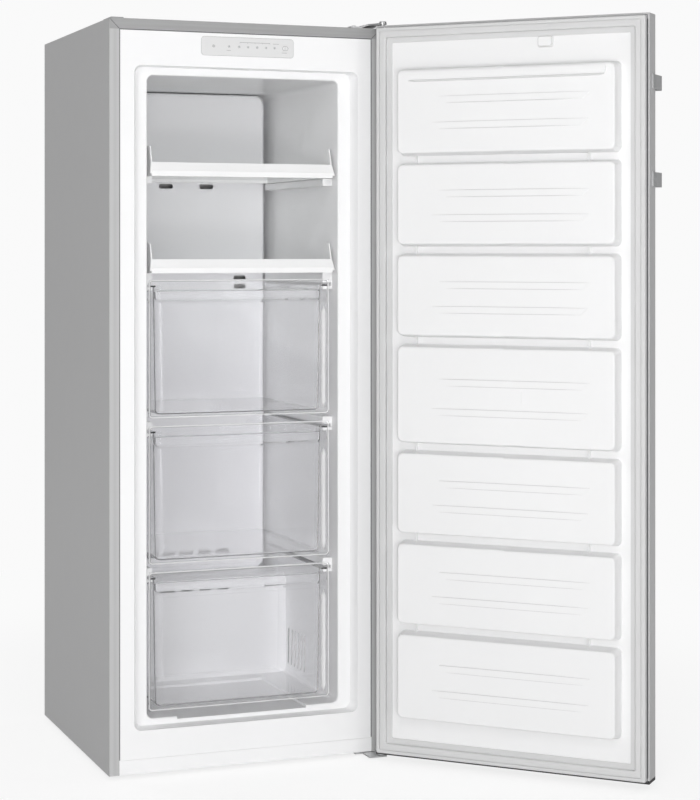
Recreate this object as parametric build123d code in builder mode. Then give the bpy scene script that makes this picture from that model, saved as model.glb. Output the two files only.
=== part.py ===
"""Upright freezer: steel cabinet with a stepped plastic liner, two glass shelves, three clear
drawers and a right-hinged door that stands open.

Frame: X to the right, the front faces -Y, Z up. The origin lies on the floor under the middle
of the cabinet. Every length is in millimetres.
"""

import os

from build123d import *

os.makedirs("parts", exist_ok=True)

# ---- cabinet ----
cabinet_width = 550
cabinet_depth = 540
cabinet_height = 1430
body_bottom = 8  # lower edge of the side panels above the floor
sheet = 0.8  # steel of the cabinet and the door
flange_width = 20  # front rim folded from the side and top panels
rear_flange = 14
mitre_gap = 0.5
seam_gap = 0.3
bend_radius = 2

# ---- inner liner ----
liner_wall = 1.6
liner_lap = 12  # how far the liner reaches behind the front rim
liner_base = 35  # seam between the liner and the plinth
back_strip = 26  # the rear sheet hangs this far over the machinery bay
bead_count = 4
bead_pitch = 120
bead_margin = 137  # above and below the beads
bead_width = 12
throat_side = 48.7  # throat mouth, from the cabinet's sides
throat_top = 86.8  # throat mouth, from the cabinet's top
throat_bottom = 88  # throat mouth, above the floor
throat_depth = 25
throat_draft_side = 7.5
throat_draft_top = 2
throat_draft_bottom = 4
throat_radius = 14
room_side = 81.3  # side walls of the room, from the cabinet's sides
room_top = 103.5
room_floor = 104
room_radius = 12
back_wall = 62  # insulation behind the room
hump_length = 148  # from the room's back wall
hump_top = 312
hump_radius = 16
ledge_round = 4
floor_groove_width = 262
floor_groove_depth = 5
floor_groove_offset = -4
floor_groove_end = 40  # the groove stops this far before the hump

# ---- air duct cover in front of the evaporator ----
cover_reach = 63  # its front, from the room's back wall
cover_wall = 2
cover_side_gap = 18.7
cover_radius = 22
cover_top_gap = 2
cover_foot_gap = 2
cover_edge_round = 8
vent_height = 10
vent_pitch = 18
upper_vents = (44.5, 31, 10.4)  # offset to each side, width, top row above the shelf's base
lower_vents = (118.5, 27, -15.5)
return_vents = (5, 40, 40)  # count, pitch, height above the hump

# ---- drawers and shelves ----
drawer_height = 265
drawer_gap = 15
drawer_lift = 8  # the lowest drawer above the room's floor
drawer_front = 50  # drawer fronts, from the front plane
front_side_gap = 9.7
front_thickness = 4
bin_side_gap = 22.7
bin_wall = 2.5
bin_draft = 4
bin_lift = 6  # bin's underside above the front's lower edge
bin_rear_gaps = (6, 11, 11)  # to the hump, and to the duct cover
bin_flange = 11
bin_flange_thickness = 3
bin_flange_drop = 14  # flange under the top of the front
bin_radius = 14
bin_dip = 24  # the bin's rear wall is this much lower in the middle
grip_lip = 19  # band above the finger recess
grip_foot = 45  # lower end of the finger recess, from the top
grip_depth = 9
frame_inset = 9
frame_recess = 1.2
slot_count = 6
slot_pitch = 19
slot_width = 4
slot_span = (31, 103)  # air slots of the lowest bin, above its front's lower edge
rail_reach = 19  # rails stand this far out of the side walls
rail_front = 60
rail_above = 7
rail_below = 20
slide_gap = 0.5
tilt_gap = 4

shelf_gap = 13  # the lower shelf's underside above the upper drawer
shelf_pitch = 185.6
shelf_front = 26
shelf_side_gap = 9.7
shelf_rear_gap = 17
trim_height = 22
trim_lift = 4.4
trim_lean = 8
trim_wall = 3
trim_flare = 4
ear_height = 31
ear_length = 32
ear_lean = 11
ear_thickness = 2.5
frame_bar = 14
glass_ledge = 6
frame_bar_height = 10
glass_thickness = 4
upper_rail_height = 14
shelf_seat = 0.3

# ---- control panel ----
panel_x = -1
panel_width = 186
panel_height = 35.5
panel_drop = 46.2  # its middle below the cabinet's top
panel_proud = 1.5
panel_radius = 6
button_width = 13
button_height = 9.5
button_x = 74.5
button_proud = 0.6
button_length = 3.9
lamp_x = (-39.3, -19.2, -1, 17.3, 35.6, 52.9)
lamp_diameter = 2.2
panel_back = 14  # housing behind the liner's face
board_size = (150, 1.6, 22)
board_inset = 8

# ---- door ----
door_open = 134  # degrees, as it stands
door_gap = 12  # between the cabinet's front and the door's inner plane
door_thickness = 42
door_bottom = 11
door_rise = 1.5  # the door's top above the cabinet's
door_cap = 7
door_edge_radius = 5
hem = 4
hinge_inset = 7.5
hinge_reach = 28
door_liner_wall = 1.5
pillow_margin = 57.5
pillow_proud = 30
pillow_taper = 4.5
pillow_radius = 11
pillow_edge_round = 4
pillow_bottom = 94
pillow_gap = 22
pillow_top_margin = 91.4
pillow_shares = (21, 20, 20, 24, 20, 20, 21)  # of the height that they fill
rib_proud = 1.6
rib_height = 12
rib_rows = ((0.366, 145, 105), (0.674, 130, 108))  # share from the top, from both edges
rib_taper = 14
lip_ends = (78, 74)  # raised bar near the top of the uppermost pillow, from both edges
lip_height = 15
lip_drop = 12
lip_proud = 4
tick_ends = (88, 114)  # small bars between the pillows, from both edges
tick_width = 2
tick_proud = 8
field_size = (75, 23)
boss_width = 29
boss_height = 20
boss_u = 348.5
boss_drop = 45  # below the door's top
boss_proud = 5
magnet_size = (18, 5, 8)

# ---- gasket ----
seal_clearance = 0.5
seal_edge = 5
seal_bulb = 20
seal_lip = 10
seal_lip_proud = 3
seal_round = 3
seal_groove = (12, 1.6, 2)  # from the door's edge, width, depth

# ---- handle ----
handle_drop = 112  # below the door's top
handle_length = 208
bracket_height = 27
bracket_plate = 2.4
bracket_start = 16  # from the door's inner plane
bracket_reach = 38  # out from the door's face
bracket_bend = 8
bracket_arm = 12
bar_width = 18
bar_thickness = 14
bar_inboard = 24
bar_radius = 3
bracket_screw = (2, 3.6, 12, 28)  # shank and head radius, length, from the inner plane
bracket_screw_pitch = 14

# ---- hinges ----
pin_radius = 4
bush_wall = 2
bush_length = 18
pin_clearance = 0.3
hinge_plate = 3
hinge_joggle = 5
hinge_eye = 7.5
arm_insets = (62, 41, 28)  # from the cabinet's side: foot of the top hinge, its ramp's ends
arm_y = (2, 60)  # from the front plane
pin_head = (7, 3)  # radius, height
pin_bite = 16  # how far the pins reach into the door
pin_shoulder = 6.5
screw = (2.5, 4.5, 2.2, 12)  # shank and head radius, head height, length
top_screw_y = (12, 31, 50)
screw_inset = 9
lower_hinge_insets = (53, 2)  # from the cabinet's side
lower_hinge_nose = 38  # the plate under the door starts here, from the same side
lower_hinge_z = 4
lower_hinge_run = (34, 96)  # upright and rear end, from the front plane
cap_round = 1.5
cap_size = (26, 60, 2)
cap_inset = 3.7
stop_size = (60, 16, 2)
stop_u = 46

# ---- base and machinery ----
pan_z = 36
bay_length = 156  # of the machinery bay, from the back
bay_top = 256
plinth_wall = 2
plinth_lip = 12
foot_radius = 15
foot_pad = 7
foot_stem = 5
foot_inset = 35
foot_y = 66
foot_plate_start = 48
nut_height = 10
nut_radius = 9
roller_radius = 17
roller_width = 16
roller_axle = 3
roller_inset = 43
roller_rear = 58
cheek = 1.5
cheek_gap = 1
base_z = 40  # underside of the compressor's carrier
base_sheet = 1.5
base_lip = 14
base_gaps = (34, 4)  # before and behind the carrier
shell_spot = (-30, 62)  # compressor's axis: x, and from the back plane
shell_radii = (86, 57)
shell_height = 146
shell_seam = (2.5, 4, 74)  # how far it stands out, its height, its place
plate_height = 2.5
grommet_height = 14
grommet_radius = 10
mount_spacing = (170, 82)
mount_plate = (194, 106)
relay_size = (52, 52, 50)
relay_lift = 16
drier_spot = (-220, 110, 140)  # x, from the back plane, height
drier_size = (10, 80, 15)  # radius, body, cone
tray_size = (168, 112, 28)
tray_wall = 2
pipe_radius = 3
gland_x = 150
gland_radius = 7
gland_flange = 2.5
drain_x = 20
drain_rear = 92
drain_radius = 8
drain_wall = 1.5
drain_bore = 100  # length of the hole around that spot

# ---- cold air ----
finned_size = (260, 360)
finned_foot = 48  # above the hump
fin_count = 24
fin_thickness = 0.8
tube_radius = 4
tube_rows = 8
heater_bend = 8
gutter_height = 14
gutter_reach = 24
spout_drop = 18  # the spout ends this far under the bay's roof
fan_radius = 52
fan_lift = 95  # above the lower shelf's underside
fan_width = 20
hub_radius = 16
blade_count = 7
motor_radius = 30
motor_length = 24

# ---- worked out ----
half_width = cabinet_width / 2
front_y = -cabinet_depth / 2
back_y = cabinet_depth / 2


def depth(distance):
    """World y of a plane at a distance behind the front plane."""
    return front_y + distance


liner_face = front_y + sheet
room_half = half_width - room_side
room_ceiling = cabinet_height - room_top
room_back = cabinet_depth - back_wall
hump_front = room_back - hump_length
cover_front = room_back - cover_reach
cover_width = 2 * (room_half - cover_side_gap)
bead_length = cabinet_height - bay_top - 2 * bead_margin
bay_front = cabinet_depth - bay_length
front_width = 2 * (room_half - front_side_gap)
bin_width = 2 * (room_half - bin_side_gap)
bin_lengths = [
    rear - gap - drawer_front - front_thickness
    for rear, gap in zip((hump_front, cover_front, cover_front), bin_rear_gaps)
]
shelf_width = 2 * (room_half - shelf_side_gap)
door_width = cabinet_width
door_top = cabinet_height + door_rise
boss_z = door_top - boss_drop
handle_top = door_top - handle_drop
panel_z = cabinet_height - panel_drop
hinge_x = half_width - hinge_inset
hinge_y = front_y - hinge_reach
seal_proud = door_gap - seal_clearance
drawer_z = [room_floor + drawer_lift + i * (drawer_height + drawer_gap) for i in range(3)]
lower_shelf_z = drawer_z[2] + drawer_height + shelf_gap
shelf_z = (lower_shelf_z + shelf_pitch, lower_shelf_z)  # undersides of the shelf frames
fan_z = lower_shelf_z + fan_lift
finned_z = hump_top + finned_foot + finned_size[1] / 2
drain_spot = (drain_x, back_y - drain_rear, (bay_top + hump_top) / 2)
pillow_room = door_top - pillow_top_margin - pillow_bottom - (len(pillow_shares) - 1) * pillow_gap
pillow_heights = [pillow_room * share / sum(pillow_shares) for share in pillow_shares]
arm_x = [half_width - inset for inset in arm_insets]
lower_hinge_x = [half_width - inset for inset in lower_hinge_insets]
foot_x = half_width - foot_inset
roller_x = half_width - roller_inset
roller_y = cabinet_depth - roller_rear
base_run = (bay_front + base_gaps[0], cabinet_depth - base_gaps[1])
pin_t = hinge_reach - door_gap  # hinge axis from the door's inner plane
bush_radius = pin_radius + pin_clearance + bush_wall
body_z = (door_bottom + door_cap, door_top - door_cap)
magnet_pocket = (
    (boss_u - magnet_size[0] / 2, boss_u + magnet_size[0] / 2),
    (door_liner_wall - boss_proud, door_liner_wall - boss_proud + magnet_size[1]),
    (boss_z - magnet_size[2] / 2, boss_z + magnet_size[2] / 2),
)
inner_half = half_width - sheet
cover_z = (hump_top + cover_foot_gap, room_ceiling - cover_top_gap)
finned_y = depth((cover_front + cover_wall + room_back) / 2)
lower_screws = [
    (side * x, lower_hinge_run[1] - screw_inset)
    for side in (-1, 1)
    for x in (lower_hinge_x[0] + screw_inset, lower_hinge_x[1] - screw_inset)
]
lower_plate_z = pan_z - sheet - hinge_plate
carrier_top = base_z + base_sheet
compressor_z = carrier_top + grommet_height
shell_top = compressor_z + plate_height + shell_height
shell_x, shell_y = shell_spot[0], back_y - shell_spot[1]
panel_pocket = (
    (-panel_width / 2 + 3, panel_width / 2 - 3),
    (liner_face - 5, liner_face + panel_back),
    (panel_z - panel_height / 2 + 3, panel_z + panel_height / 2 - 3),
)

# The door's own frame: x from its hinge edge to its free edge, y outwards from its inner
# plane, z up. It stands turned about the hinge axis.
door = Location((hinge_x, hinge_y, 0), (0, 0, 180 + door_open)) * Location(
    (-hinge_inset, door_gap - hinge_reach, 0)
)


def front_view(y):
    """Sketch plane seen from the front: local x is X, local y is Z, normal -Y."""
    return Plane.XZ.offset(-y)


def block(x, y, z, mode=Mode.ADD):
    """Box from its lower and upper limits along each axis."""
    with Locations((sum(x) / 2, sum(y) / 2, sum(z) / 2)):
        Box(x[1] - x[0], y[1] - y[0], z[1] - z[0], mode=mode)


def panel(x, z, radius=0.0, mode=Mode.ADD):
    """Rectangle in a sketch from its limits, with rounded corners where a radius is given."""
    with Locations((sum(x) / 2, sum(z) / 2)):
        if radius > 0:
            RectangleRounded(x[1] - x[0], z[1] - z[0], radius, mode=mode)
        else:
            Rectangle(x[1] - x[0], z[1] - z[0], mode=mode)


def door_block(u, t, z, mode=Mode.ADD):
    """Box from its limits in the door's own frame."""
    with Locations(door * Location((sum(u) / 2, sum(t) / 2, sum(z) / 2))):
        Box(u[1] - u[0], t[1] - t[0], z[1] - z[0], mode=mode)


def door_face(proud=0.0):
    """Sketch plane on the door's inner side: local x from its hinge edge, local y is Z."""
    return Plane(door * Plane.XZ.offset(proud).location)


inwards = Axis(door_face().origin, door_face().z_dir)  # out of the door's inner side


def door_slab(z, inset=0.0, mode=Mode.ADD):
    """The door's plan outline between two heights, inset from its faces."""
    with BuildSketch(door * Plane.XY.offset(z[0])) as outline:
        panel((inset, door_width - inset), (inset, door_thickness - inset))
        fillet(outline.vertices().group_by(Axis.Y)[-1], door_edge_radius - inset)
    extrude(outline.sketch, amount=z[1] - z[0], mode=mode)


def rod(spot, radius, height, mode=Mode.ADD):
    """Upright cylinder on the point of its foot."""
    with Locations(spot):
        Cylinder(radius, height, align=(Align.CENTER, Align.CENTER, Align.MIN), mode=mode)


def door_pin(z):
    """Point of the hinge axis at a height."""
    return (hinge_x, hinge_y, z)


def tube(points, radius, bend):
    """Round pipe along straight runs joined by arcs."""
    with BuildLine() as path:
        FilletPolyline(*points, radius=bend)
    with BuildSketch(path.line ^ 0) as section:
        Circle(radius)
    sweep(section.sketch, path=path.line)


def save(piece, name):
    """Name a finished piece and write it."""
    piece.part.label = name
    export_step(piece.part, f"parts/{name}.step")


# ---------------------------------------------------------------- cabinet shell
def make_outer_wrapper():
    """Side and top panels folded from one sheet, with the mitred front rim and rear flanges."""
    height = cabinet_height - body_bottom
    middle = (cabinet_height + body_bottom) / 2

    def arch(inset):
        with Locations((0, middle - inset)):
            Rectangle(cabinet_width - 2 * inset, height, mode=Mode.SUBTRACT)

    with BuildPart() as wrapper:
        for start, run, inset in (
            (front_y, cabinet_depth, sheet),
            (front_y, sheet, flange_width),
            (back_y - sheet, sheet, rear_flange),
        ):
            with BuildSketch(front_view(start)) as section:
                with Locations((0, middle)):
                    Rectangle(cabinet_width, height)
                fillet(section.vertices().group_by(Axis.Y)[-1], bend_radius)
                arch(inset)
            extrude(amount=-run)
        for y in top_screw_y:
            rod((arm_x[0] + screw_inset, depth(y), cabinet_height - 2 * sheet), screw[0],
                3 * sheet, Mode.SUBTRACT)
        for side in (-1, 1):
            corner = side * (half_width - flange_width / 2)
            with Locations(
                Location(
                    (corner, front_y, cabinet_height - flange_width / 2), (0, -side * 45, 0)
                )
            ):
                Box(flange_width * 2, 3 * sheet, mitre_gap, mode=Mode.SUBTRACT)
    save(wrapper, "outer_wrapper")


def room_solid(grow=0.0):
    """The liner's hollow: stepped throat, room and compressor hump, grown by a wall."""
    mouth_x = half_width - throat_side + grow
    seat_x = mouth_x - throat_draft_side
    mouth_z = (throat_bottom - grow, cabinet_height - throat_top + grow)
    seat_z = (mouth_z[0] + throat_draft_bottom, mouth_z[1] - throat_draft_top)
    room_x = room_half + grow
    room_z = (room_floor - grow, room_ceiling + grow)
    with BuildPart() as room:
        with BuildSketch(front_view(front_y)):
            panel((-mouth_x, mouth_x), mouth_z, throat_radius + grow)
        with BuildSketch(front_view(depth(throat_depth + grow))):
            panel((-seat_x, seat_x), seat_z, throat_radius + grow)
        loft(ruled=True)
        with BuildSketch(front_view(depth(throat_depth))):
            panel((-room_x, room_x), room_z, room_radius + grow)
        extrude(amount=-(room_back - throat_depth + grow))
        if grow == 0:
            ridge = room.edges().filter_by_position(
                Axis.Y, depth(throat_depth) - 0.01, depth(throat_depth) + 0.01
            )
            fillet(
                [e for e in ridge if abs(e.center().X) < room_x + 1
                 and room_z[0] - 1 < e.center().Z < room_z[1] + 1],
                ledge_round,
            )
        groove_half = floor_groove_width / 2 + grow
        block(
            (floor_groove_offset - groove_half, floor_groove_offset + groove_half),
            (depth(throat_depth), depth(hump_front - floor_groove_end + grow)),
            (room_floor - floor_groove_depth - grow, room_floor + grow),
        )
        with BuildSketch(Plane.YZ.offset(-room_x)) as hump:
            panel(
                (depth(hump_front + grow), depth(room_back + 2 * grow)),
                (room_z[0] - 1, hump_top - grow),
            )
            fillet(hump.vertices().group_by(Axis.Y)[-1].sort_by(Axis.X)[0], hump_radius - grow)
        extrude(amount=2 * room_x, mode=Mode.SUBTRACT)
    return room.part


def rail_profile(drawer_top, side, crown):
    """C-shaped rail on one side wall: the drawer's flange runs in its groove."""
    wall = side * (room_half + liner_wall / 2)
    nose = side * (room_half - rail_reach)
    groove = side * (room_half - liner_wall)
    flange_z = drawer_top - bin_flange_drop
    panel(sorted((wall, nose)), (drawer_top - rail_below, drawer_top + crown), 2)
    panel(
        sorted((groove, nose - side * 5)),
        (flange_z - slide_gap, flange_z + bin_flange_thickness + tilt_gap),
        mode=Mode.SUBTRACT,
    )


def make_liner():
    """Thermoformed liner with its stepped throat, floor groove and the rails on both walls."""
    lap = half_width - flange_width + liner_lap
    with BuildPart() as liner:
        with BuildSketch(front_view(liner_face)):
            panel((-lap, lap), (liner_base, cabinet_height - flange_width + liner_lap))
        extrude(amount=-liner_wall)
        add(outer_room)
        add(inner_room, mode=Mode.SUBTRACT)
        block((-half_width, half_width), (front_y - 5, liner_face), (0, cabinet_height),
              Mode.SUBTRACT)
        for side in (-1, 1):
            for number, bottom in enumerate(drawer_z):
                top = bottom + drawer_height
                crown = shelf_z[1] - shelf_seat - top if number == 2 else rail_above
                run = cover_front - rail_front
                with BuildSketch(front_view(depth(rail_front))):
                    rail_profile(top, side, crown)
                extrude(amount=-(run - 5))
            with BuildSketch(front_view(depth(rail_front))):
                top = shelf_z[0] - shelf_seat
                reach = sorted((side * (room_half + liner_wall / 2),
                                side * (room_half - rail_reach)))
                panel(reach, (top - upper_rail_height, top), 2)
            extrude(amount=-(cover_front - rail_front - 5))
        block(*panel_pocket, Mode.SUBTRACT)
        with Locations(drain_spot):
            Cylinder(drain_radius, drain_bore, mode=Mode.SUBTRACT)
    save(liner, "inner_liner")


def pan_outline(offset=0.0):
    """Top side of the pan: along the base, up over the machinery bay and out to the back."""
    bay_y = depth(bay_front) + offset
    return (
        (liner_face + liner_wall, pan_z - offset),
        (bay_y, pan_z - offset),
        (bay_y, bay_top - offset),
        (back_y - 2 * sheet, bay_top - offset),
    )


def make_foam():
    """Insulation between the liner and the sheet metal."""
    with BuildPart() as foam:
        with BuildSketch(Plane.YZ.offset(-inner_half)):
            with BuildLine():
                Polyline(
                    *pan_outline(),
                    (back_y - 2 * sheet, cabinet_height - sheet),
                    (liner_face + liner_wall, cabinet_height - sheet),
                    close=True,
                )
            make_face()
        extrude(amount=2 * inner_half)
        add(outer_room, mode=Mode.SUBTRACT)
        block(*panel_pocket, Mode.SUBTRACT)
        with Locations(drain_spot):
            Cylinder(drain_radius, drain_bore, mode=Mode.SUBTRACT)
        for y in top_screw_y:
            rod((arm_x[0] + screw_inset, depth(y), cabinet_height - screw[3]), screw[0], screw[3],
                Mode.SUBTRACT)
        for x, y in lower_screws:
            rod((x, depth(y), pan_z), screw[0], screw[3], Mode.SUBTRACT)
    save(foam, "cabinet_foam")


def make_pan():
    """Sheet under the insulation, stepped over the machinery bay."""
    with BuildPart() as pan:
        with BuildSketch(Plane.YZ.offset(-inner_half)):
            with BuildLine():
                Polyline(*pan_outline(), *reversed(pan_outline(sheet)), close=True)
            make_face()
        extrude(amount=2 * inner_half)
        with Locations(drain_spot):
            Cylinder(drain_radius, drain_bore, mode=Mode.SUBTRACT)
        for x, y in lower_screws:
            rod((x, depth(y), pan_z - 2 * sheet), screw[0], 3 * sheet, Mode.SUBTRACT)
    save(pan, "bottom_pan")


def make_back_panel():
    """Rear sheet inside the wrapper's flanges, with pressed beads and a strip over the bay."""
    foot = bay_top - back_strip
    with BuildPart() as back:
        with BuildSketch(front_view(back_y - 2 * sheet)):
            panel((-inner_half, inner_half), (foot, cabinet_height - sheet))
            with Locations((gland_x, foot + back_strip / 2)):
                Circle(gland_radius, mode=Mode.SUBTRACT)
        extrude(amount=-sheet)
        with BuildSketch(front_view(back_y - sheet)):
            with Locations((0, (bay_top + cabinet_height) / 2)):
                with GridLocations(bead_pitch, 0, bead_count, 1):
                    SlotOverall(bead_length, bead_width, rotation=90)
        extrude(amount=-sheet)
    save(back, "back_panel")


def make_plinth():
    """Front strip under the liner's seam, a channel open to the back."""
    top = liner_base - seam_gap
    lap = half_width - flange_width + liner_lap
    with BuildPart() as plinth:
        block((-lap, lap), (liner_face, liner_face + plinth_lip), (body_bottom, top))
        block(
            (-lap, lap),
            (liner_face + plinth_wall, liner_face + plinth_lip + 1),
            (body_bottom + plinth_wall, top - plinth_wall),
            Mode.SUBTRACT,
        )
    save(plinth, "plinth")


# ---------------------------------------------------------------- cold air
def make_cover():
    """Moulded cover over the evaporator, a shell against the liner's back wall."""
    with BuildPart() as cover:
        with BuildSketch(front_view(depth(room_back))):
            panel((-cover_width / 2, cover_width / 2), cover_z, cover_radius)
        extrude(amount=room_back - cover_front)
        fillet(cover.faces().sort_by(Axis.Y)[0].edges(), cover_edge_round)
        offset(amount=-cover_wall, openings=cover.faces().sort_by(Axis.Y)[-1])
        with BuildSketch(front_view(depth(cover_front) - 1)):
            for vents, shelf in zip((upper_vents, lower_vents), shelf_z):
                for side in (-1, 1):
                    for row in (0, 1):
                        with Locations((side * vents[0], shelf + vents[2] - row * vent_pitch)):
                            SlotOverall(vents[1], vent_height)
            count, pitch, lift = return_vents
            with Locations((0, hump_top + lift)):
                with GridLocations(pitch, 0, count, 1):
                    SlotOverall(pitch - vent_height, vent_height)
        extrude(amount=-2 * cover_wall, mode=Mode.SUBTRACT)
        with Locations(drain_spot):
            Cylinder(drain_radius, drain_bore, mode=Mode.SUBTRACT)
    save(cover, "evaporator_cover")


def make_evaporator():
    """Finned block: thin plates on rows of tube joined by bends at both ends."""
    length, height = finned_size
    thickness = room_back - cover_front - cover_wall - 2 * seam_gap
    row_pitch = height / tube_rows
    rows = [finned_z + (i + 0.5 - tube_rows / 2) * row_pitch for i in range(tube_rows)]
    with BuildPart() as evaporator:
        with Locations((0, finned_y, finned_z)):
            with GridLocations(length / (fin_count - 1), 0, fin_count, 1):
                Box(fin_thickness, thickness, height)
        for number, z in enumerate(rows):
            with Locations(Location((0, finned_y, z), (0, 90, 0))):
                Cylinder(tube_radius, length + 2 * tube_radius)
            if number < tube_rows - 1:
                side = 1 if number % 2 else -1
                end = side * (length / 2 + tube_radius)
                with BuildSketch(Plane.YZ.offset(end)):
                    with Locations((finned_y, z)):
                        Circle(tube_radius)
                turn = Axis((end, finned_y, z + row_pitch / 2), (0, -side, 0))
                revolve(axis=turn, revolution_arc=180)
    save(evaporator, "evaporator")


def make_heater():
    """Defrost heater, one hairpin of tube under the fins."""
    length, height = finned_size
    reach = length / 2
    high = finned_z - height / 2 - seam_gap - pipe_radius
    low = high - 2 * heater_bend
    corners = ((-reach, high), (reach, high), (reach, low), (-reach, low))
    with BuildPart() as heater:
        tube([(x, finned_y, z) for x, z in corners], pipe_radius, heater_bend * 0.9)
    save(heater, "defrost_heater")


def make_drain():
    """Gutter under the evaporator with its spout down through the hump."""
    x, y, _ = drain_spot
    half = finned_size[0] / 2
    foot = cover_z[0] + cover_wall + seam_gap
    top = foot + gutter_height
    with BuildPart() as gutter:
        block((-half, half), (y - gutter_reach, y + gutter_reach), (foot, top))
        fillet(gutter.edges().filter_by(Axis.Z), gutter_reach / 3)
        offset(amount=-drain_wall, openings=gutter.faces().sort_by(Axis.Z)[-1])
        spout_foot = bay_top - spout_drop
        rod((x, y, spout_foot), drain_radius - drain_wall / 2, foot - spout_foot + drain_wall)
        rod((x, y, spout_foot), drain_radius - 1.5 * drain_wall, top, Mode.SUBTRACT)
    save(gutter, "drain_channel")


def make_fan():
    """Fan behind the upper vents: the motor on its three-armed bracket, and the impeller."""
    back = depth(room_back)
    nose = back - motor_length
    with BuildPart() as motor:
        with BuildSketch(front_view(back)):
            with Locations((0, fan_z)):
                Circle(motor_radius)
                with PolarLocations(fan_radius / 2, 3, start_angle=90):
                    SlotOverall(fan_radius, motor_radius / 2)
        extrude(amount=2 * cover_wall)
        with BuildSketch(front_view(back)):
            with Locations((0, fan_z)):
                Circle(motor_radius)
        extrude(amount=motor_length)
        fillet(motor.faces().sort_by(Axis.Y)[0].edges(), motor_radius / 8)
        with BuildSketch(front_view(nose)):
            with Locations((0, fan_z)):
                Circle(pin_radius)
        extrude(amount=-motor_length / 2, mode=Mode.SUBTRACT)
    save(motor, "fan_motor")

    hub_back = nose - cover_wall
    with BuildPart() as blade:
        for radius, twist, chord in ((hub_radius - 2, 38, 18), (fan_radius, 24, 34)):
            spot = (radius, hub_back - fan_width / 2, fan_z)
            with BuildSketch(Plane(spot, x_dir=(0, 1, 0), z_dir=(1, 0, 0))):
                SlotOverall(chord, cover_wall, rotation=90 - twist)
        loft(ruled=True)
    with BuildPart() as impeller:
        with BuildSketch(front_view(nose + motor_length / 2 - cover_wall)):
            with Locations((0, fan_z)):
                Circle(pin_radius - pin_clearance)
        extrude(amount=motor_length / 2)
        with BuildSketch(front_view(hub_back)):
            with Locations((0, fan_z)):
                Circle(hub_radius)
        extrude(amount=fan_width)
        fillet(impeller.faces().sort_by(Axis.Y)[0].edges(), hub_radius / 4)
        hub_axis = Axis((0, 0, fan_z), (0, 1, 0))
        for number in range(blade_count):
            add(blade.part.rotate(hub_axis, number * 360 / blade_count))
    save(impeller, "fan_impeller")


# ---------------------------------------------------------------- shelves and drawers
def make_shelf(name, base):
    """Glass in a moulded frame with a leaning front trim and an ear at each end."""
    half = shelf_width / 2
    top = base + frame_bar_height
    front, back = depth(shelf_front + trim_wall), depth(cover_front - shelf_rear_gap)
    opening = half - frame_bar
    seat = opening + glass_ledge
    trim_z = (base + trim_lift, base + trim_lift + trim_height)
    with BuildPart() as frame:
        block((-half, half), (front, back), (base, top))
        block((-opening, opening), (front + frame_bar, back - frame_bar), (base - 1, top + 1),
              Mode.SUBTRACT)
        block(
            (-seat, seat),
            (front + frame_bar - glass_ledge, back - frame_bar + glass_ledge),
            (top - glass_thickness, top + 1),
            Mode.SUBTRACT,
        )
        for z, lean, flare in ((trim_z[0], 0, trim_flare), (trim_z[1], trim_lean, 0)):
            with BuildSketch(Plane.XY.offset(z)):
                with Locations((0, front - trim_wall / 2 + lean)):
                    Rectangle(2 * (half + flare), trim_wall)
        loft()
        block((-half, half), (front - trim_wall, front + frame_bar / 2), (trim_z[0], top))
        for side in (-1, 1):
            outer = side * half
            with BuildSketch(Plane.YZ.offset(outer)) as ear:
                foot_y = front + trim_lean - trim_wall
                with BuildLine():
                    Polyline(
                        (foot_y, trim_z[1]),
                        (foot_y + ear_lean, trim_z[1] + ear_height),
                        (foot_y + ear_lean + ear_length, trim_z[1] + ear_height),
                        (foot_y + ear_length * 1.3, top),
                        (front + trim_wall / 2, top),
                        close=True,
                    )
                make_face()
                fillet(ear.vertices().group_by(Axis.Y)[-1], ear_thickness)
            extrude(amount=-side * ear_thickness)
    save(frame, f"{name}_frame")
    with BuildPart() as glass:
        block(
            (-seat, seat),
            (front + frame_bar - glass_ledge, back - frame_bar + glass_ledge),
            (top - glass_thickness, top),
        )
    save(glass, f"{name}_glass")


def front_profile(bottom, top):
    """Cross-section of a drawer front: straight panel, finger recess and upper lip."""
    slope = grip_depth
    outline = (
        (drawer_front, bottom),
        (drawer_front, top - grip_foot),
        (drawer_front + grip_depth, top - grip_foot + slope),
        (drawer_front + grip_depth, top - grip_lip - slope / 2),
        (drawer_front, top - grip_lip),
        (drawer_front, top),
    )
    with BuildLine() as section:
        Polyline(
            *[(depth(y), z) for y, z in outline],
            *[(depth(y + front_thickness), z) for y, z in reversed(outline)],
            close=True,
        )
    make_face(section.line)


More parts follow.
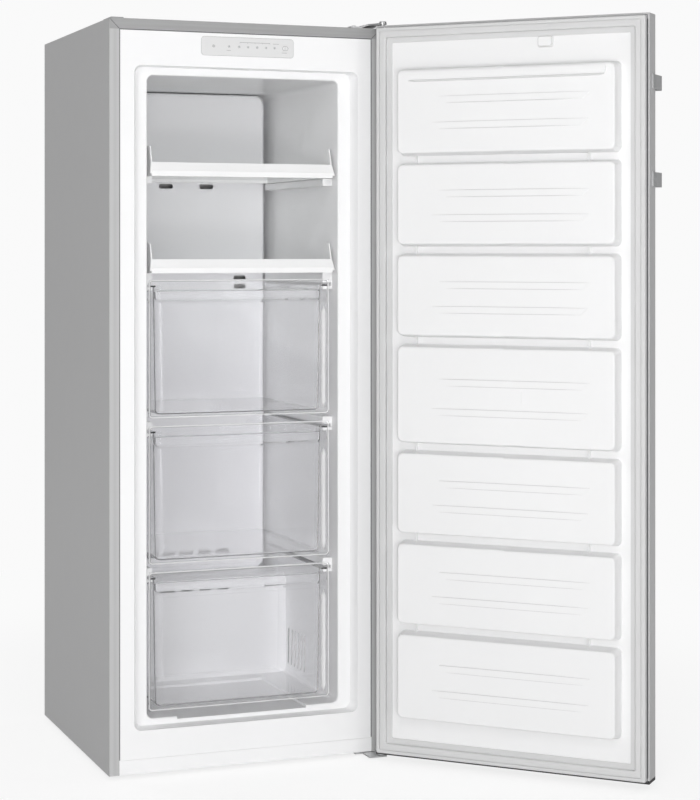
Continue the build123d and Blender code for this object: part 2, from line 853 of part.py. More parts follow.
def make_drawer(name, bottom, length, slotted):
    """Clear bin with flanges for the rails, moulded in one with its front."""
    top = bottom + drawer_height
    half = bin_width / 2
    start = depth(drawer_front + front_thickness)
    middle = start + length / 2
    flange_z = top - bin_flange_drop
    bin_top = flange_z + bin_flange_thickness
    with BuildPart() as drawer:
        for z, inset in ((bottom + bin_lift, bin_draft), (bin_top, 0)):
            with BuildSketch(Plane.XY.offset(z)):
                with Locations((0, middle - inset / 2)):
                    RectangleRounded(bin_width - 2 * inset, length - inset, bin_radius)
        loft()
        fillet(drawer.faces().sort_by(Axis.Z)[0].edges(), bin_radius / 2)
        offset(amount=-bin_wall, openings=drawer.faces().sort_by(Axis.Z)[-1])
        with BuildSketch(front_view(start + length + 1)):
            with BuildLine():
                Polyline(
                    (half - bin_dip, bin_top + 1),
                    (half - 2 * bin_dip, bin_top - bin_dip),
                    (2 * bin_dip - half, bin_top - bin_dip),
                    (bin_dip - half, bin_top + 1),
                    close=True,
                )
            make_face()
        extrude(amount=2 * bin_radius, mode=Mode.SUBTRACT)
        for side in (-1, 1):
            block(
                sorted((side * (half - bin_wall / 2), side * (half + bin_flange))),
                (start, start + length - bin_radius),
                (flange_z, bin_top),
            )
        if slotted:
            for number in range(slot_count):
                y = middle + (number - slot_count / 2 + 0.5) * slot_pitch
                block((-half, half), (y - slot_width / 2, y + slot_width / 2),
                      (bottom + slot_span[0], bottom + slot_span[1]), Mode.SUBTRACT)
        with BuildSketch(Plane.YZ.offset(-front_width / 2)):
            front_profile(bottom, top)
        extrude(amount=front_width)
        with BuildSketch(front_view(depth(drawer_front))):
            panel(
                (frame_inset - front_width / 2, front_width / 2 - frame_inset),
                (bottom + frame_inset, top - grip_foot - frame_inset / 2),
                frame_inset / 2,
            )
        extrude(amount=-frame_recess, mode=Mode.SUBTRACT)
        corners = drawer.edges().filter_by(Axis.Y).filter_by_position(
            Axis.Y, start - front_thickness, start
        )
        fillet(
            [e for e in corners if abs(e.center().X) > front_width / 2 - 0.1],
            front_thickness,
        )
    save(drawer, name)


# ---------------------------------------------------------------- control panel
def make_controls():
    """Bezel with six lamps and a push button, in front of the circuit board."""
    face = liner_face - panel_proud
    board_y = face + board_inset
    width, thickness, height = board_size
    (x0, x1), (_, back), (z0, z1) = panel_pocket
    with BuildPart() as bezel:
        with BuildSketch(front_view(face)):
            with Locations((panel_x, panel_z)):
                RectangleRounded(panel_width, panel_height, panel_radius)
        extrude(amount=-panel_proud)
        fillet(bezel.faces().sort_by(Axis.Y)[0].edges(), panel_proud * 0.6)
        block((x0, x1), (liner_face, back), (z0, z1))
        block((x0 + liner_wall, x1 - liner_wall), (liner_face + panel_proud, back + 1),
              (z0 + liner_wall, z1 - liner_wall), Mode.SUBTRACT)
        with BuildSketch(front_view(board_y)):
            with Locations((panel_x, panel_z)):
                with GridLocations(0.6 * width, height - panel_radius, 2, 2):
                    Circle(lamp_diameter)
        extrude(amount=board_y - liner_face - panel_proud)
        with BuildSketch(front_view(face)):
            with Locations((button_x, panel_z)):
                RectangleRounded(
                    button_width + 2 * pin_clearance,
                    button_height + 2 * pin_clearance,
                    panel_proud,
                )
            with Locations(*[(x, panel_z) for x in lamp_x]):
                Circle(lamp_diameter / 2)
        extrude(amount=-3 * panel_proud, mode=Mode.SUBTRACT)
    save(bezel, "control_panel")

    with BuildPart() as button:
        with BuildSketch(front_view(face - button_proud)):
            with Locations((button_x, panel_z)):
                RectangleRounded(button_width, button_height, panel_proud)
        extrude(amount=-button_length)
        fillet(button.faces().sort_by(Axis.Y)[0].edges(), button_proud / 2)
        with BuildSketch(front_view(face - button_proud + button_length)):
            with Locations((button_x, panel_z)):
                Rectangle(button_width + 2 * panel_proud, button_height + 2 * panel_proud)
        extrude(amount=-panel_proud)
    save(button, "control_button")

    with BuildPart() as lamps:
        with BuildSketch(front_view(face)):
            with Locations(*[(x, panel_z) for x in lamp_x]):
                Circle(lamp_diameter / 2)
        extrude(amount=-2 * panel_proud)
    save(lamps, "indicator_lamps")

    with BuildPart() as board:
        block((panel_x - width / 2, panel_x + width / 2), (board_y, board_y + thickness),
              (panel_z - height / 2, panel_z + height / 2))
        with Locations((panel_x - width / 4, board_y + thickness + 2, panel_z)):
            with GridLocations(width / 4, 0, 3, 1):
                Box(height / 2, 4, height / 2)
    save(board, "control_board")


# ---------------------------------------------------------------- door
def pillows(inset=0.0):
    """Seven raised fields of the door's inner side as solids, inset by a wall."""
    with BuildPart() as fields:
        bottom = pillow_bottom
        for height in reversed(pillow_heights):
            for proud, flare in ((-inset, pillow_taper), (pillow_proud - inset, 0)):
                margin = pillow_margin - flare + inset
                with BuildSketch(door_face(proud)):
                    panel(
                        (margin, door_width - margin),
                        (bottom - flare + inset, bottom + height + flare - inset),
                        pillow_radius,
                    )
            loft()
            bottom += height + pillow_gap
        crests = fields.faces().group_by(inwards)[-1]
        fillet([e for face in crests for e in face.edges()], pillow_edge_round - inset)
    return fields.part


def make_door_liner():
    """Vacuum-formed inner side of the door: seven pillows with ribs, a lip and ticks."""
    with BuildPart() as liner:
        door_block((hem, door_width - hem), (0, door_liner_wall), body_z)
        add(outer_pillows)
        bottom = pillow_bottom
        for number, height in enumerate(reversed(pillow_heights)):
            top = bottom + height
            with BuildSketch(door_face(pillow_proud - rib_proud / 2)):
                for share, start, margin in rib_rows:
                    z = top - share * height
                    end = door_width - margin
                    with BuildLine():
                        Polyline(
                            (start, z + rib_height / 2),
                            (start + rib_taper, z - rib_height / 2),
                            (end - rib_taper, z - rib_height / 2),
                            (end, z + rib_height / 2),
                            close=True,
                        )
                    make_face()
                if number == len(pillow_heights) // 2:
                    with Locations((door_width / 2, (bottom + top) / 2)):
                        RectangleRounded(*field_size, rib_proud)
            extrude(amount=1.5 * rib_proud)
            if number < len(pillow_heights) - 1:
                for u in (tick_ends[0], door_width - tick_ends[1]):
                    door_block((u - tick_width / 2, u + tick_width / 2), (-tick_proud, 0),
                               (top, top + pillow_gap))
            bottom = top + pillow_gap
        with BuildSketch(door_face(pillow_proud - lip_proud)):
            panel((lip_ends[0], door_width - lip_ends[1]),
                  (top - lip_drop - lip_height / 2, top - lip_drop + lip_height / 2), lip_height / 3)
        extrude(amount=2 * lip_proud)
        with BuildSketch(door_face()):
            with Locations((boss_u, boss_z)):
                RectangleRounded(boss_width, boss_height, boss_proud)
        extrude(amount=boss_proud, taper=8)
        add(inner_pillows, mode=Mode.SUBTRACT)
        door_block(*magnet_pocket, Mode.SUBTRACT)
    save(liner, "door_liner")


def make_door_shell():
    """Outer skin folded round the edges, end caps, insulation, bushes and the reed magnet."""
    with BuildPart() as skin:
        door_slab(body_z)
        door_slab(body_z, sheet, Mode.SUBTRACT)
        door_block((hem, door_width - hem), (-1, 2 * sheet), body_z, Mode.SUBTRACT)
        handle_holes(sheet * 2)
    save(skin, "door_skin")

    with BuildPart() as foam:
        door_slab(body_z, sheet)
        door_block((0, door_width), (-1, door_liner_wall), body_z, Mode.SUBTRACT)
        add(inner_pillows)
        for foot in (door_bottom, door_top - bush_length):
            rod(door_pin(foot), bush_radius, bush_length, Mode.SUBTRACT)
        handle_holes(bracket_screw[2])
    save(foam, "door_foam")

    for name, foot in (("bottom", door_bottom), ("top", body_z[1])):
        with BuildPart() as cap:
            door_slab((foot, foot + door_cap))
            rim = cap.faces().sort_by(Axis.Z)[-1 if name == "top" else 0]
            fillet(rim.edges(), cap_round)
            rod(door_pin(foot - 1), bush_radius, door_cap + 2, Mode.SUBTRACT)
        save(cap, f"door_cap_{name}")
        with BuildPart() as bush:
            start = door_bottom if name == "bottom" else door_top - bush_length
            rod(door_pin(start), bush_radius, bush_length)
            rod(door_pin(start - 1), pin_radius + pin_clearance, bush_length + 2, Mode.SUBTRACT)
        save(bush, f"hinge_bush_{name}")

    with BuildPart() as magnet:
        door_block(*magnet_pocket)
    save(magnet, "reed_magnet")

    length, width, thickness = stop_size
    with BuildPart() as stop:
        door_block(
            (stop_u - length / 2, stop_u + length / 2),
            (pin_t - width / 2, pin_t + width / 2),
            (door_bottom - thickness, door_bottom),
        )
        fillet(stop.edges().filter_by(Axis.Z), width / 4)
        with Locations(door * Location((stop_u, pin_t, door_bottom - thickness), (180, 0, 0))):
            with GridLocations(length / 2, 0, 2, 1):
                CounterSinkHole(screw[0] / 2, screw[0], depth=thickness)
    save(stop, "door_stop")


def make_gasket():
    """Magnetic gasket round the door's inner side: hollow-looking bulb and a thin lip."""
    bulb_end = seal_edge + seal_bulb
    height = door_bottom + door_top

    def ring(start, end, proud, back, mode=Mode.ADD):
        with BuildSketch(door_face(back)) as outline:
            for inset, how in ((start, Mode.ADD), (end, Mode.SUBTRACT)):
                with Locations((door_width / 2, height / 2)):
                    RectangleRounded(
                        door_width - 2 * inset,
                        door_top - door_bottom - 2 * inset,
                        seal_round,
                        mode=how,
                    )
        extrude(outline.sketch, amount=proud, mode=mode)

    with BuildPart() as gasket:
        ring(seal_edge, bulb_end, seal_proud, 0)
        crest = gasket.faces().group_by(inwards)[-1]
        fillet([e for face in crest for e in face.edges()], seal_round)
        ring(bulb_end - seal_round, bulb_end + seal_lip, seal_lip_proud, 0)
        start, width, groove_depth = seal_groove
        ring(start, start + width, groove_depth + 1, seal_proud - groove_depth, Mode.SUBTRACT)
    save(gasket, "door_gasket")


# ---------------------------------------------------------------- handle
def handle_spots():
    """Lower end of each handle bracket."""
    return (handle_top - bracket_height, handle_top - handle_length)


def handle_holes(reach):
    """Holes for the handle's screws in the door's free edge."""
    radius = bracket_screw[0]
    for foot in handle_spots():
        for side in (-1, 1):
            z = foot + bracket_height / 2 + side * bracket_screw_pitch / 2
            spot = Location((door_width - reach / 2, bracket_screw[3], z), (0, 90, 0))
            with Locations(door * spot):
                Cylinder(radius, reach + 1, mode=Mode.SUBTRACT)


def make_handle():
    """Upright bar held off the door's face by two bent brackets on its free edge."""
    outer_u = door_width + bracket_plate
    outer_t = door_thickness + bracket_reach
    bar_u = door_width - bar_inboard
    shank, head, length, screw_t = bracket_screw
    with BuildPart() as bar:
        with BuildSketch(door * Plane.XY.offset(handle_top - handle_length)):
            with Locations((bar_u - bar_width / 2, outer_t - bar_thickness / 2)):
                RectangleRounded(bar_width, bar_thickness, bar_radius)
        extrude(amount=handle_length)
    save(bar, "handle_bar")

    with BuildPart() as brackets:
        for foot in handle_spots():
            with BuildSketch(door * Plane.XY.offset(foot)):
                with BuildLine():
                    Line((door_width, bracket_start), (outer_u, bracket_start))
                    Line((outer_u, bracket_start), (outer_u, outer_t - bracket_bend))
                    RadiusArc((outer_u, outer_t - bracket_bend), (outer_u - bracket_bend, outer_t),
                              -bracket_bend)
                    Polyline(
                        (outer_u - bracket_bend, outer_t),
                        (bar_u, outer_t - bar_radius / 2),
                        (bar_u, outer_t - bracket_arm),
                        (door_width - bracket_bend, outer_t - bracket_arm),
                        (door_width, outer_t - bracket_arm - 2 * bracket_bend),
                        (door_width, bracket_start),
                    )
                make_face()
            extrude(amount=bracket_height)
            for side in (-1, 1):
                z = foot + bracket_height / 2 + side * bracket_screw_pitch / 2
                with Locations(door * Location((outer_u, screw_t, z), (0, 90, 0))):
                    CounterSinkHole(shank, head, depth=bracket_plate)
    save(brackets, "handle_brackets")

    with BuildPart() as screws:
        for foot in handle_spots():
            for side in (-1, 1):
                z = foot + bracket_height / 2 + side * bracket_screw_pitch / 2
                with Locations(door * Location((outer_u, screw_t, z), (0, -90, 0))):
                    Cone(head, shank, head - shank,
                         align=(Align.CENTER, Align.CENTER, Align.MIN))
                    Cylinder(shank, length, align=(Align.CENTER, Align.CENTER, Align.MIN))
    save(screws, "handle_screws")


# ---------------------------------------------------------------- hinges and feet
def make_top_hinge():
    """Plate screwed on the cabinet's top, rising to an arm that holds the pin."""
    foot_start, ramp_start, ramp_end = arm_x
    low, high = cabinet_height, cabinet_height + hinge_joggle
    with BuildPart() as hinge:
        with BuildSketch(front_view(depth(arm_y[0]))):
            with BuildLine():
                Polyline(
                    (foot_start, low),
                    (ramp_start, low),
                    (ramp_end, high),
                    (half_width, high),
                    (half_width, high + hinge_plate),
                    (ramp_end - hinge_plate / 2, high + hinge_plate),
                    (ramp_start - hinge_plate / 2, low + hinge_plate),
                    (foot_start, low + hinge_plate),
                    close=True,
                )
            make_face()
        extrude(amount=arm_y[0] - arm_y[1])
        fillet(hinge.edges().filter_by(Axis.Z).sort_by(Axis.X)[-1], hinge_eye)
        with BuildSketch(Plane.XY.offset(high)):
            with Locations((hinge_x, hinge_y)):
                Circle(hinge_eye)
            with BuildLine():
                Polyline(
                    (hinge_x - hinge_eye, hinge_y),
                    (hinge_x + hinge_eye, hinge_y),
                    (half_width, depth(arm_y[0])),
                    (ramp_end, depth(arm_y[0])),
                    close=True,
                )
            make_face()
        extrude(amount=hinge_plate)
        rod(door_pin(high - 1), pin_radius, hinge_plate + 2, Mode.SUBTRACT)
        for y in top_screw_y:
            rod((foot_start + screw_inset, depth(y), low - 1), screw[0], hinge_plate + 2,
                Mode.SUBTRACT)
    save(hinge, "top_hinge")

    shank, head, head_height, length = screw
    with BuildPart() as screws:
        for y in top_screw_y:
            spot = (foot_start + screw_inset, depth(y), low + hinge_plate)
            rod(spot, head, head_height)
            rod((spot[0], spot[1], spot[2] - length), shank, length)
        fillet(screws.edges().group_by(Axis.Z)[-1], head_height / 2)
    save(screws, "top_hinge_screws")

    with BuildPart() as pin:
        rod(door_pin(high + hinge_plate), *pin_head)
        fillet(pin.edges().group_by(Axis.Z)[-1], pin_head[1] / 3)
        foot = door_top - pin_bite
        rod(door_pin(foot), pin_radius, high + hinge_plate - foot)
        chamfer(pin.edges().group_by(Axis.Z)[0], pin_radius / 4)
    save(pin, "top_hinge_pin")

    width, length, thickness = cap_size
    with BuildPart() as cap:
        with BuildSketch(Plane.XY.offset(cabinet_height)):
            with Locations((cap_inset + width / 2 - half_width, depth(arm_y[0] + length / 2))):
                RectangleRounded(width, length, width / 6)
        extrude(amount=thickness)
        fillet(cap.edges().group_by(Axis.Z)[-1], thickness / 2)
    save(cap, "hinge_hole_cap")


def foot_nut(side):
    """Threaded boss under a bracket, with the bore for the foot's stem."""
    spot = (side * foot_x, depth(foot_y), lower_plate_z - nut_height)
    with BuildSketch(Plane.XY.offset(spot[2])) as nut:
        with Locations(spot[:2]):
            RegularPolygon(nut_radius, 6)
    extrude(nut.sketch, amount=nut_height + hinge_plate / 2)
    rod((spot[0], spot[1], spot[2] - 1), foot_stem + pin_clearance,
        nut_height + hinge_plate + 2, Mode.SUBTRACT)


def bracket_screw_holes(side):
    """Screw holes in the brackets under the pan."""
    for x, y in lower_screws:
        if x * side > 0:
            rod((x, depth(y), lower_plate_z - 1), screw[0], hinge_plate + 2, Mode.SUBTRACT)


def make_bottom_hinge():
    """Z-shaped bracket: flat under the door with the pin, upright, flat under the pan."""
    upright, rear = (depth(y) for y in lower_hinge_run)
    nose_y = hinge_y - hinge_eye
    with BuildPart() as hinge:
        with BuildSketch(Plane.YZ.offset(lower_hinge_x[0])):
            with BuildLine():
                Polyline(
                    (nose_y, lower_hinge_z),
                    (upright + hinge_plate, lower_hinge_z),
                    (upright + hinge_plate, lower_plate_z),
                    (rear, lower_plate_z),
                    (rear, lower_plate_z + hinge_plate),
                    (upright, lower_plate_z + hinge_plate),
                    (upright, lower_hinge_z + hinge_plate),
                    (nose_y, lower_hinge_z + hinge_plate),
                    close=True,
                )
            make_face()
        extrude(amount=lower_hinge_x[1] - lower_hinge_x[0])
        block((lower_hinge_x[0] - 1, half_width - lower_hinge_nose),
              (nose_y - 1, front_y + hinge_plate),
              (0, pan_z), Mode.SUBTRACT)
        rod(door_pin(lower_hinge_z), hinge_eye, hinge_plate)
        rod(door_pin(lower_hinge_z - 1), pin_radius, hinge_plate + 2, Mode.SUBTRACT)
        foot_nut(1)
        bracket_screw_holes(1)
    save(hinge, "bottom_hinge")

    with BuildPart() as pin:
        rod(door_pin(lower_hinge_z), pin_radius, door_bottom + pin_bite - lower_hinge_z)
        chamfer(pin.edges().group_by(Axis.Z)[-1], pin_radius / 4)
        seat = lower_hinge_z + hinge_plate
        rod(door_pin(seat), pin_shoulder, door_bottom - pin_clearance - seat)
    save(pin, "bottom_hinge_pin")

    with BuildPart() as bracket:
        block((-lower_hinge_x[1], -lower_hinge_x[0]), (depth(foot_plate_start), rear),
              (lower_plate_z, lower_plate_z + hinge_plate))
        fillet(bracket.edges().filter_by(Axis.Z), hinge_plate)
        foot_nut(-1)
        bracket_screw_holes(-1)
    save(bracket, "foot_bracket")

    shank, head, head_height, length = screw
    with BuildPart() as screws:
        for x, y in lower_screws:
            rod((x, depth(y), lower_plate_z), shank, length)
            rod((x, depth(y), lower_plate_z - head_height), head, head_height)
        fillet(screws.edges().group_by(Axis.Z)[0], head_height / 2)
    save(screws, "bracket_screws")


def make_feet():
    """Two levelling feet at the front: a flat pad with a threaded stem."""
    stem_top = lower_plate_z + hinge_plate - 1
    for side, name in ((-1, "foot_left"), (1, "foot_right")):
        spot = (side * foot_x, depth(foot_y), 0)
        with BuildPart() as foot:
            with BuildSketch():
                with Locations(spot[:2]):
                    RegularPolygon(foot_radius, 12)
            extrude(amount=foot_pad)
            fillet(foot.edges().group_by(Axis.Z)[-1], foot_pad / 5)
            rod(spot, foot_stem, stem_top)
            chamfer(foot.edges().group_by(Axis.Z)[-1], foot_stem / 5)
        save(foot, name)


def make_rollers():
    """Two rollers at the back, each on its axle in a folded bracket under the carrier."""
    y = depth(roller_y)
    half = roller_width / 2
    inner = half + cheek_gap
    for side, name in ((-1, "left"), (1, "right")):
        middle = side * roller_x
        with BuildPart() as bracket:
            block((middle - inner - cheek, middle + inner + cheek),
                  (y - roller_radius + cheek_gap, y + roller_radius - cheek_gap),
                  (roller_radius - 2 * roller_axle, base_z))
            block((middle - inner, middle + inner), (y - roller_radius, y + roller_radius),
                  (0, base_z - cheek), Mode.SUBTRACT)
            fillet(
                bracket.edges().filter_by(Axis.X).group_by(Axis.Z)[0],
                2 * roller_axle - cheek_gap,
            )
            with Locations(Location((middle, y, roller_radius), (0, 90, 0))):
                Cylinder(roller_axle, 4 * inner, mode=Mode.SUBTRACT)
        save(bracket, f"roller_bracket_{name}")
        with BuildPart() as axle:
            with Locations(Location((middle, y, roller_radius), (0, 90, 0))):
                Cylinder(roller_axle, 2 * (inner + 2 * cheek))
                for end in (-1, 1):
                    with Locations((0, 0, end * (inner + 1.5 * cheek))):
                        Cylinder(roller_axle * 1.6, cheek)
        save(axle, f"roller_axle_{name}")
        with BuildPart() as roller:
            with Locations(Location((middle, y, roller_radius), (0, 90, 0))):
                Cylinder(roller_radius, roller_width)
            fillet(roller.edges(), cheek)
            for face in (-1, 1):
                with BuildSketch(Plane.YZ.offset(middle + face * half)):
                    with Locations((y, roller_radius)):
                        Circle(roller_radius * 0.72)
                        Circle(roller_radius * 0.36, mode=Mode.SUBTRACT)
                extrude(amount=-face * half / 2, mode=Mode.SUBTRACT)
            with Locations(Location((middle, y, roller_radius), (0, 90, 0))):
                Cylinder(roller_axle + pin_clearance, 2 * roller_width, mode=Mode.SUBTRACT)
        save(roller, f"roller_{name}")


# ---------------------------------------------------------------- machinery
def make_carrier():
    """Cross channel that carries the compressor and the rollers."""
    start, end = (depth(y) for y in base_run)
    with BuildPart() as carrier:
        block((-inner_half, inner_half), (start, end), (base_z - base_lip, carrier_top))
        block((-inner_half, inner_half), (start + base_sheet, end - base_sheet),
              (0, base_z), Mode.SUBTRACT)
    save(carrier, "compressor_base")


def make_compressor():
    """Welded shell on its mounting plate, four grommets and the relay cover."""
    shell_foot = compressor_z + plate_height
    with BuildPart() as shell:
        with BuildSketch(Plane.XY.offset(shell_foot)):
            with Locations((shell_x, shell_y)):
                Ellipse(*shell_radii)
        extrude(amount=shell_height)
        fillet(shell.edges().group_by(Axis.Z)[-1], shell_radii[1] / 2)
        fillet(shell.edges().group_by(Axis.Z)[0], shell_radii[1] / 3)
        proud, height, lift = shell_seam
        with BuildSketch(Plane.XY.offset(shell_foot + lift)):
            with Locations((shell_x, shell_y)):
                Ellipse(shell_radii[0] + proud, shell_radii[1] + proud)
        extrude(amount=height)
        with BuildSketch(Plane.XY.offset(compressor_z)):
            with Locations((shell_x, shell_y)):
                RectangleRounded(*mount_plate, grommet_radius)
                with GridLocations(*mount_spacing, 2, 2):
                    Circle(pin_radius, mode=Mode.SUBTRACT)
        extrude(amount=plate_height)
    save(shell, "compressor")

    band = grommet_height / 3
    with BuildPart() as mounts:
        with Locations((shell_x, shell_y, carrier_top)):
            with GridLocations(*mount_spacing, 2, 2):
                for number, radius in enumerate((1, 0.7, 1)):
                    with Locations((0, 0, number * band)):
                        Cylinder(radius * grommet_radius, band,
                                 align=(Align.CENTER, Align.CENTER, Align.MIN))
                Cylinder(pin_radius, 3 * grommet_height, mode=Mode.SUBTRACT)
    save(mounts, "compressor_mounts")

    length, width, height = relay_size
    with BuildPart() as relay:
        with Locations((shell_x + shell_radii[0] - length / 4 + length / 2, shell_y,
                        shell_foot + relay_lift + height / 2)):
            Box(length, width, height)
        fillet(relay.faces().sort_by(Axis.X)[-1].edges(), base_lip / 2)
        with BuildSketch(Plane.XY.offset(shell_foot)):
            with Locations((shell_x, shell_y)):
                Ellipse(*shell_radii)
        extrude(amount=shell_height, mode=Mode.SUBTRACT)
    save(relay, "relay_cover")


def make_pipes():
    """Suction and discharge pipes, the filter drier in its line, tray and cord gland."""
    outlet = shell_x - shell_radii[0]
    roof = bay_top - sheet
    drier_x, drier_y, drier_z = drier_spot[0], back_y - drier_spot[1], drier_spot[2]
    drier_radius, body, cone = drier_size
    low, high = drier_z - cone, drier_z + body + cone
    bend = 5 * pipe_radius
    side_x = (outlet + drier_x) / 2
    with BuildPart() as pipes:
        tube(((outlet, shell_y, high - body), (side_x, shell_y, high - body),
              (side_x, shell_y, roof)), pipe_radius, bend)
        tube(((outlet, shell_y, low), (side_x - bend, shell_y, low),
              (side_x - bend, drier_y, low), (side_x - bend, drier_y, roof)), pipe_radius, bend)
        tube(((drier_x, drier_y, low), (drier_x, drier_y, low - 2 * bend),
              (drier_x, shell_y, low - 2 * bend), (drier_x, shell_y, roof)), pipe_radius, bend)
        rod((drier_x, drier_y, high), pipe_radius, roof - high)
    save(pipes, "refrigerant_pipes")

    with BuildPart() as drier:
        rod((drier_x, drier_y, drier_z), drier_radius, body)
        with Locations((drier_x, drier_y, drier_z - cone / 2)):
            Cone(pipe_radius + 1, drier_radius, cone)
        with Locations((drier_x, drier_y, drier_z + body + cone / 2)):
            Cone(drier_radius, pipe_radius + 1, cone)
    save(drier, "filter_drier")

    with BuildPart() as tray:
        with BuildSketch(Plane.XY.offset(shell_top + seam_gap)):
            with Locations((shell_x, shell_y)):
                RectangleRounded(tray_size[0], tray_size[1], grommet_radius)
        extrude(amount=tray_size[2])
        fillet(tray.faces().sort_by(Axis.Z)[0].edges(), grommet_radius / 2)
        offset(amount=-tray_wall, openings=tray.faces().sort_by(Axis.Z)[-1])
    save(tray, "evaporation_tray")

    with BuildPart() as gland:
        for start, radius, length in (
            (back_y - 3 * sheet - gland_radius, gland_radius * 1.4, gland_radius + sheet),
            (back_y - 2 * sheet, gland_radius, sheet),
            (back_y - sheet, gland_radius * 1.5, gland_flange),
        ):
            with BuildSketch(front_view(start)):
                with Locations((gland_x, bay_top - back_strip / 2)):
                    Circle(radius)
                    Circle(gland_radius / 2, mode=Mode.SUBTRACT)
            extrude(amount=-length)
    save(gland, "cord_grommet")


outer_room = room_solid(liner_wall)
inner_room = room_solid()
outer_pillows = pillows()
inner_pillows = pillows(door_liner_wall)

make_outer_wrapper()
make_liner()
make_foam()
make_pan()
make_back_panel()
make_plinth()
make_cover()
make_evaporator()
make_heater()
make_drain()
make_fan()
make_shelf("shelf_upper", shelf_z[0])
make_shelf("shelf_lower", shelf_z[1])
for number, name in enumerate(("drawer_lower", "drawer_middle", "drawer_upper")):
    make_drawer(name, drawer_z[number], bin_lengths[number], slotted=number == 0)
make_controls()
make_door_liner()
make_door_shell()
make_gasket()
make_handle()
make_top_hinge()
make_bottom_hinge()
make_feet()
make_rollers()
make_carrier()
make_compressor()
make_pipes()
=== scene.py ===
import math

import bmesh
import bpy
from mathutils import Matrix, Vector


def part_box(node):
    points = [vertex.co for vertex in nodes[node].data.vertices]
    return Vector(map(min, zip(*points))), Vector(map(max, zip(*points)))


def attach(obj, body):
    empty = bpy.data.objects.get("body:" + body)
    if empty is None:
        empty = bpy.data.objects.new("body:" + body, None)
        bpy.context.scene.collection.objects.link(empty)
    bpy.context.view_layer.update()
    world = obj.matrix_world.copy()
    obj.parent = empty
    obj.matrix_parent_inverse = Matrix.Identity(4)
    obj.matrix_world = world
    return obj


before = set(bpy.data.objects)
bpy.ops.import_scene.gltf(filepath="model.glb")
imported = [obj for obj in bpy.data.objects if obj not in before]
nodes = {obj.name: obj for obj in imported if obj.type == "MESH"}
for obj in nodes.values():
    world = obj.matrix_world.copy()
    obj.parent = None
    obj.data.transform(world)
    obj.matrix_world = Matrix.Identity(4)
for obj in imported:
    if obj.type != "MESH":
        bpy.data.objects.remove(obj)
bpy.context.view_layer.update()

# where the photo was taken from, fitted to the cabinet's and the door's corners
camera = {
    "place": (-1.2335, -3.961, 0.998),
    "turnedToRight": 21.33,
    "lens": 91.01,
    "sensorHeight": 36.0,
    "shift": (0.001, -0.190),
    "sees": (0.05, 60),
}


def placeCamera():
    data = bpy.data.cameras.new("photoCamera")
    data.sensor_fit = "VERTICAL"
    data.sensor_height = camera["sensorHeight"]
    data.lens = camera["lens"]
    data.shift_x, data.shift_y = camera["shift"]
    data.clip_start, data.clip_end = camera["sees"]
    eye = bpy.data.objects.new("photoCamera", data)
    eye.location = camera["place"]
    eye.rotation_euler = (math.radians(90), 0, math.radians(-camera["turnedToRight"]))
    bpy.context.collection.objects.link(eye)
    bpy.context.scene.camera = eye


placeCamera()
print("camera placed")


# one socket, so that shader maths reads as plain sums
class Wire:
    def __init__(self, recipe, socket):
        self.recipe = recipe
        self.socket = socket

    def maths(self, operation, first, second=0.0):
        return self.recipe.node("ShaderNodeMath", {"operation": operation}, {0: first, 1: second})

    def __add__(self, other): return self.maths("ADD", self, other)
    def __sub__(self, other): return self.maths("SUBTRACT", self, other)
    def __mul__(self, other): return self.maths("MULTIPLY", self, other)
    def __truediv__(self, other): return self.maths("DIVIDE", self, other)
    def __gt__(self, other): return self.maths("GREATER_THAN", self, other)
    def __lt__(self, other): return self.maths("LESS_THAN", self, other)
    def __pow__(self, other): return self.maths("POWER", self, other)
    def __abs__(self): return self.maths("ABSOLUTE", self)


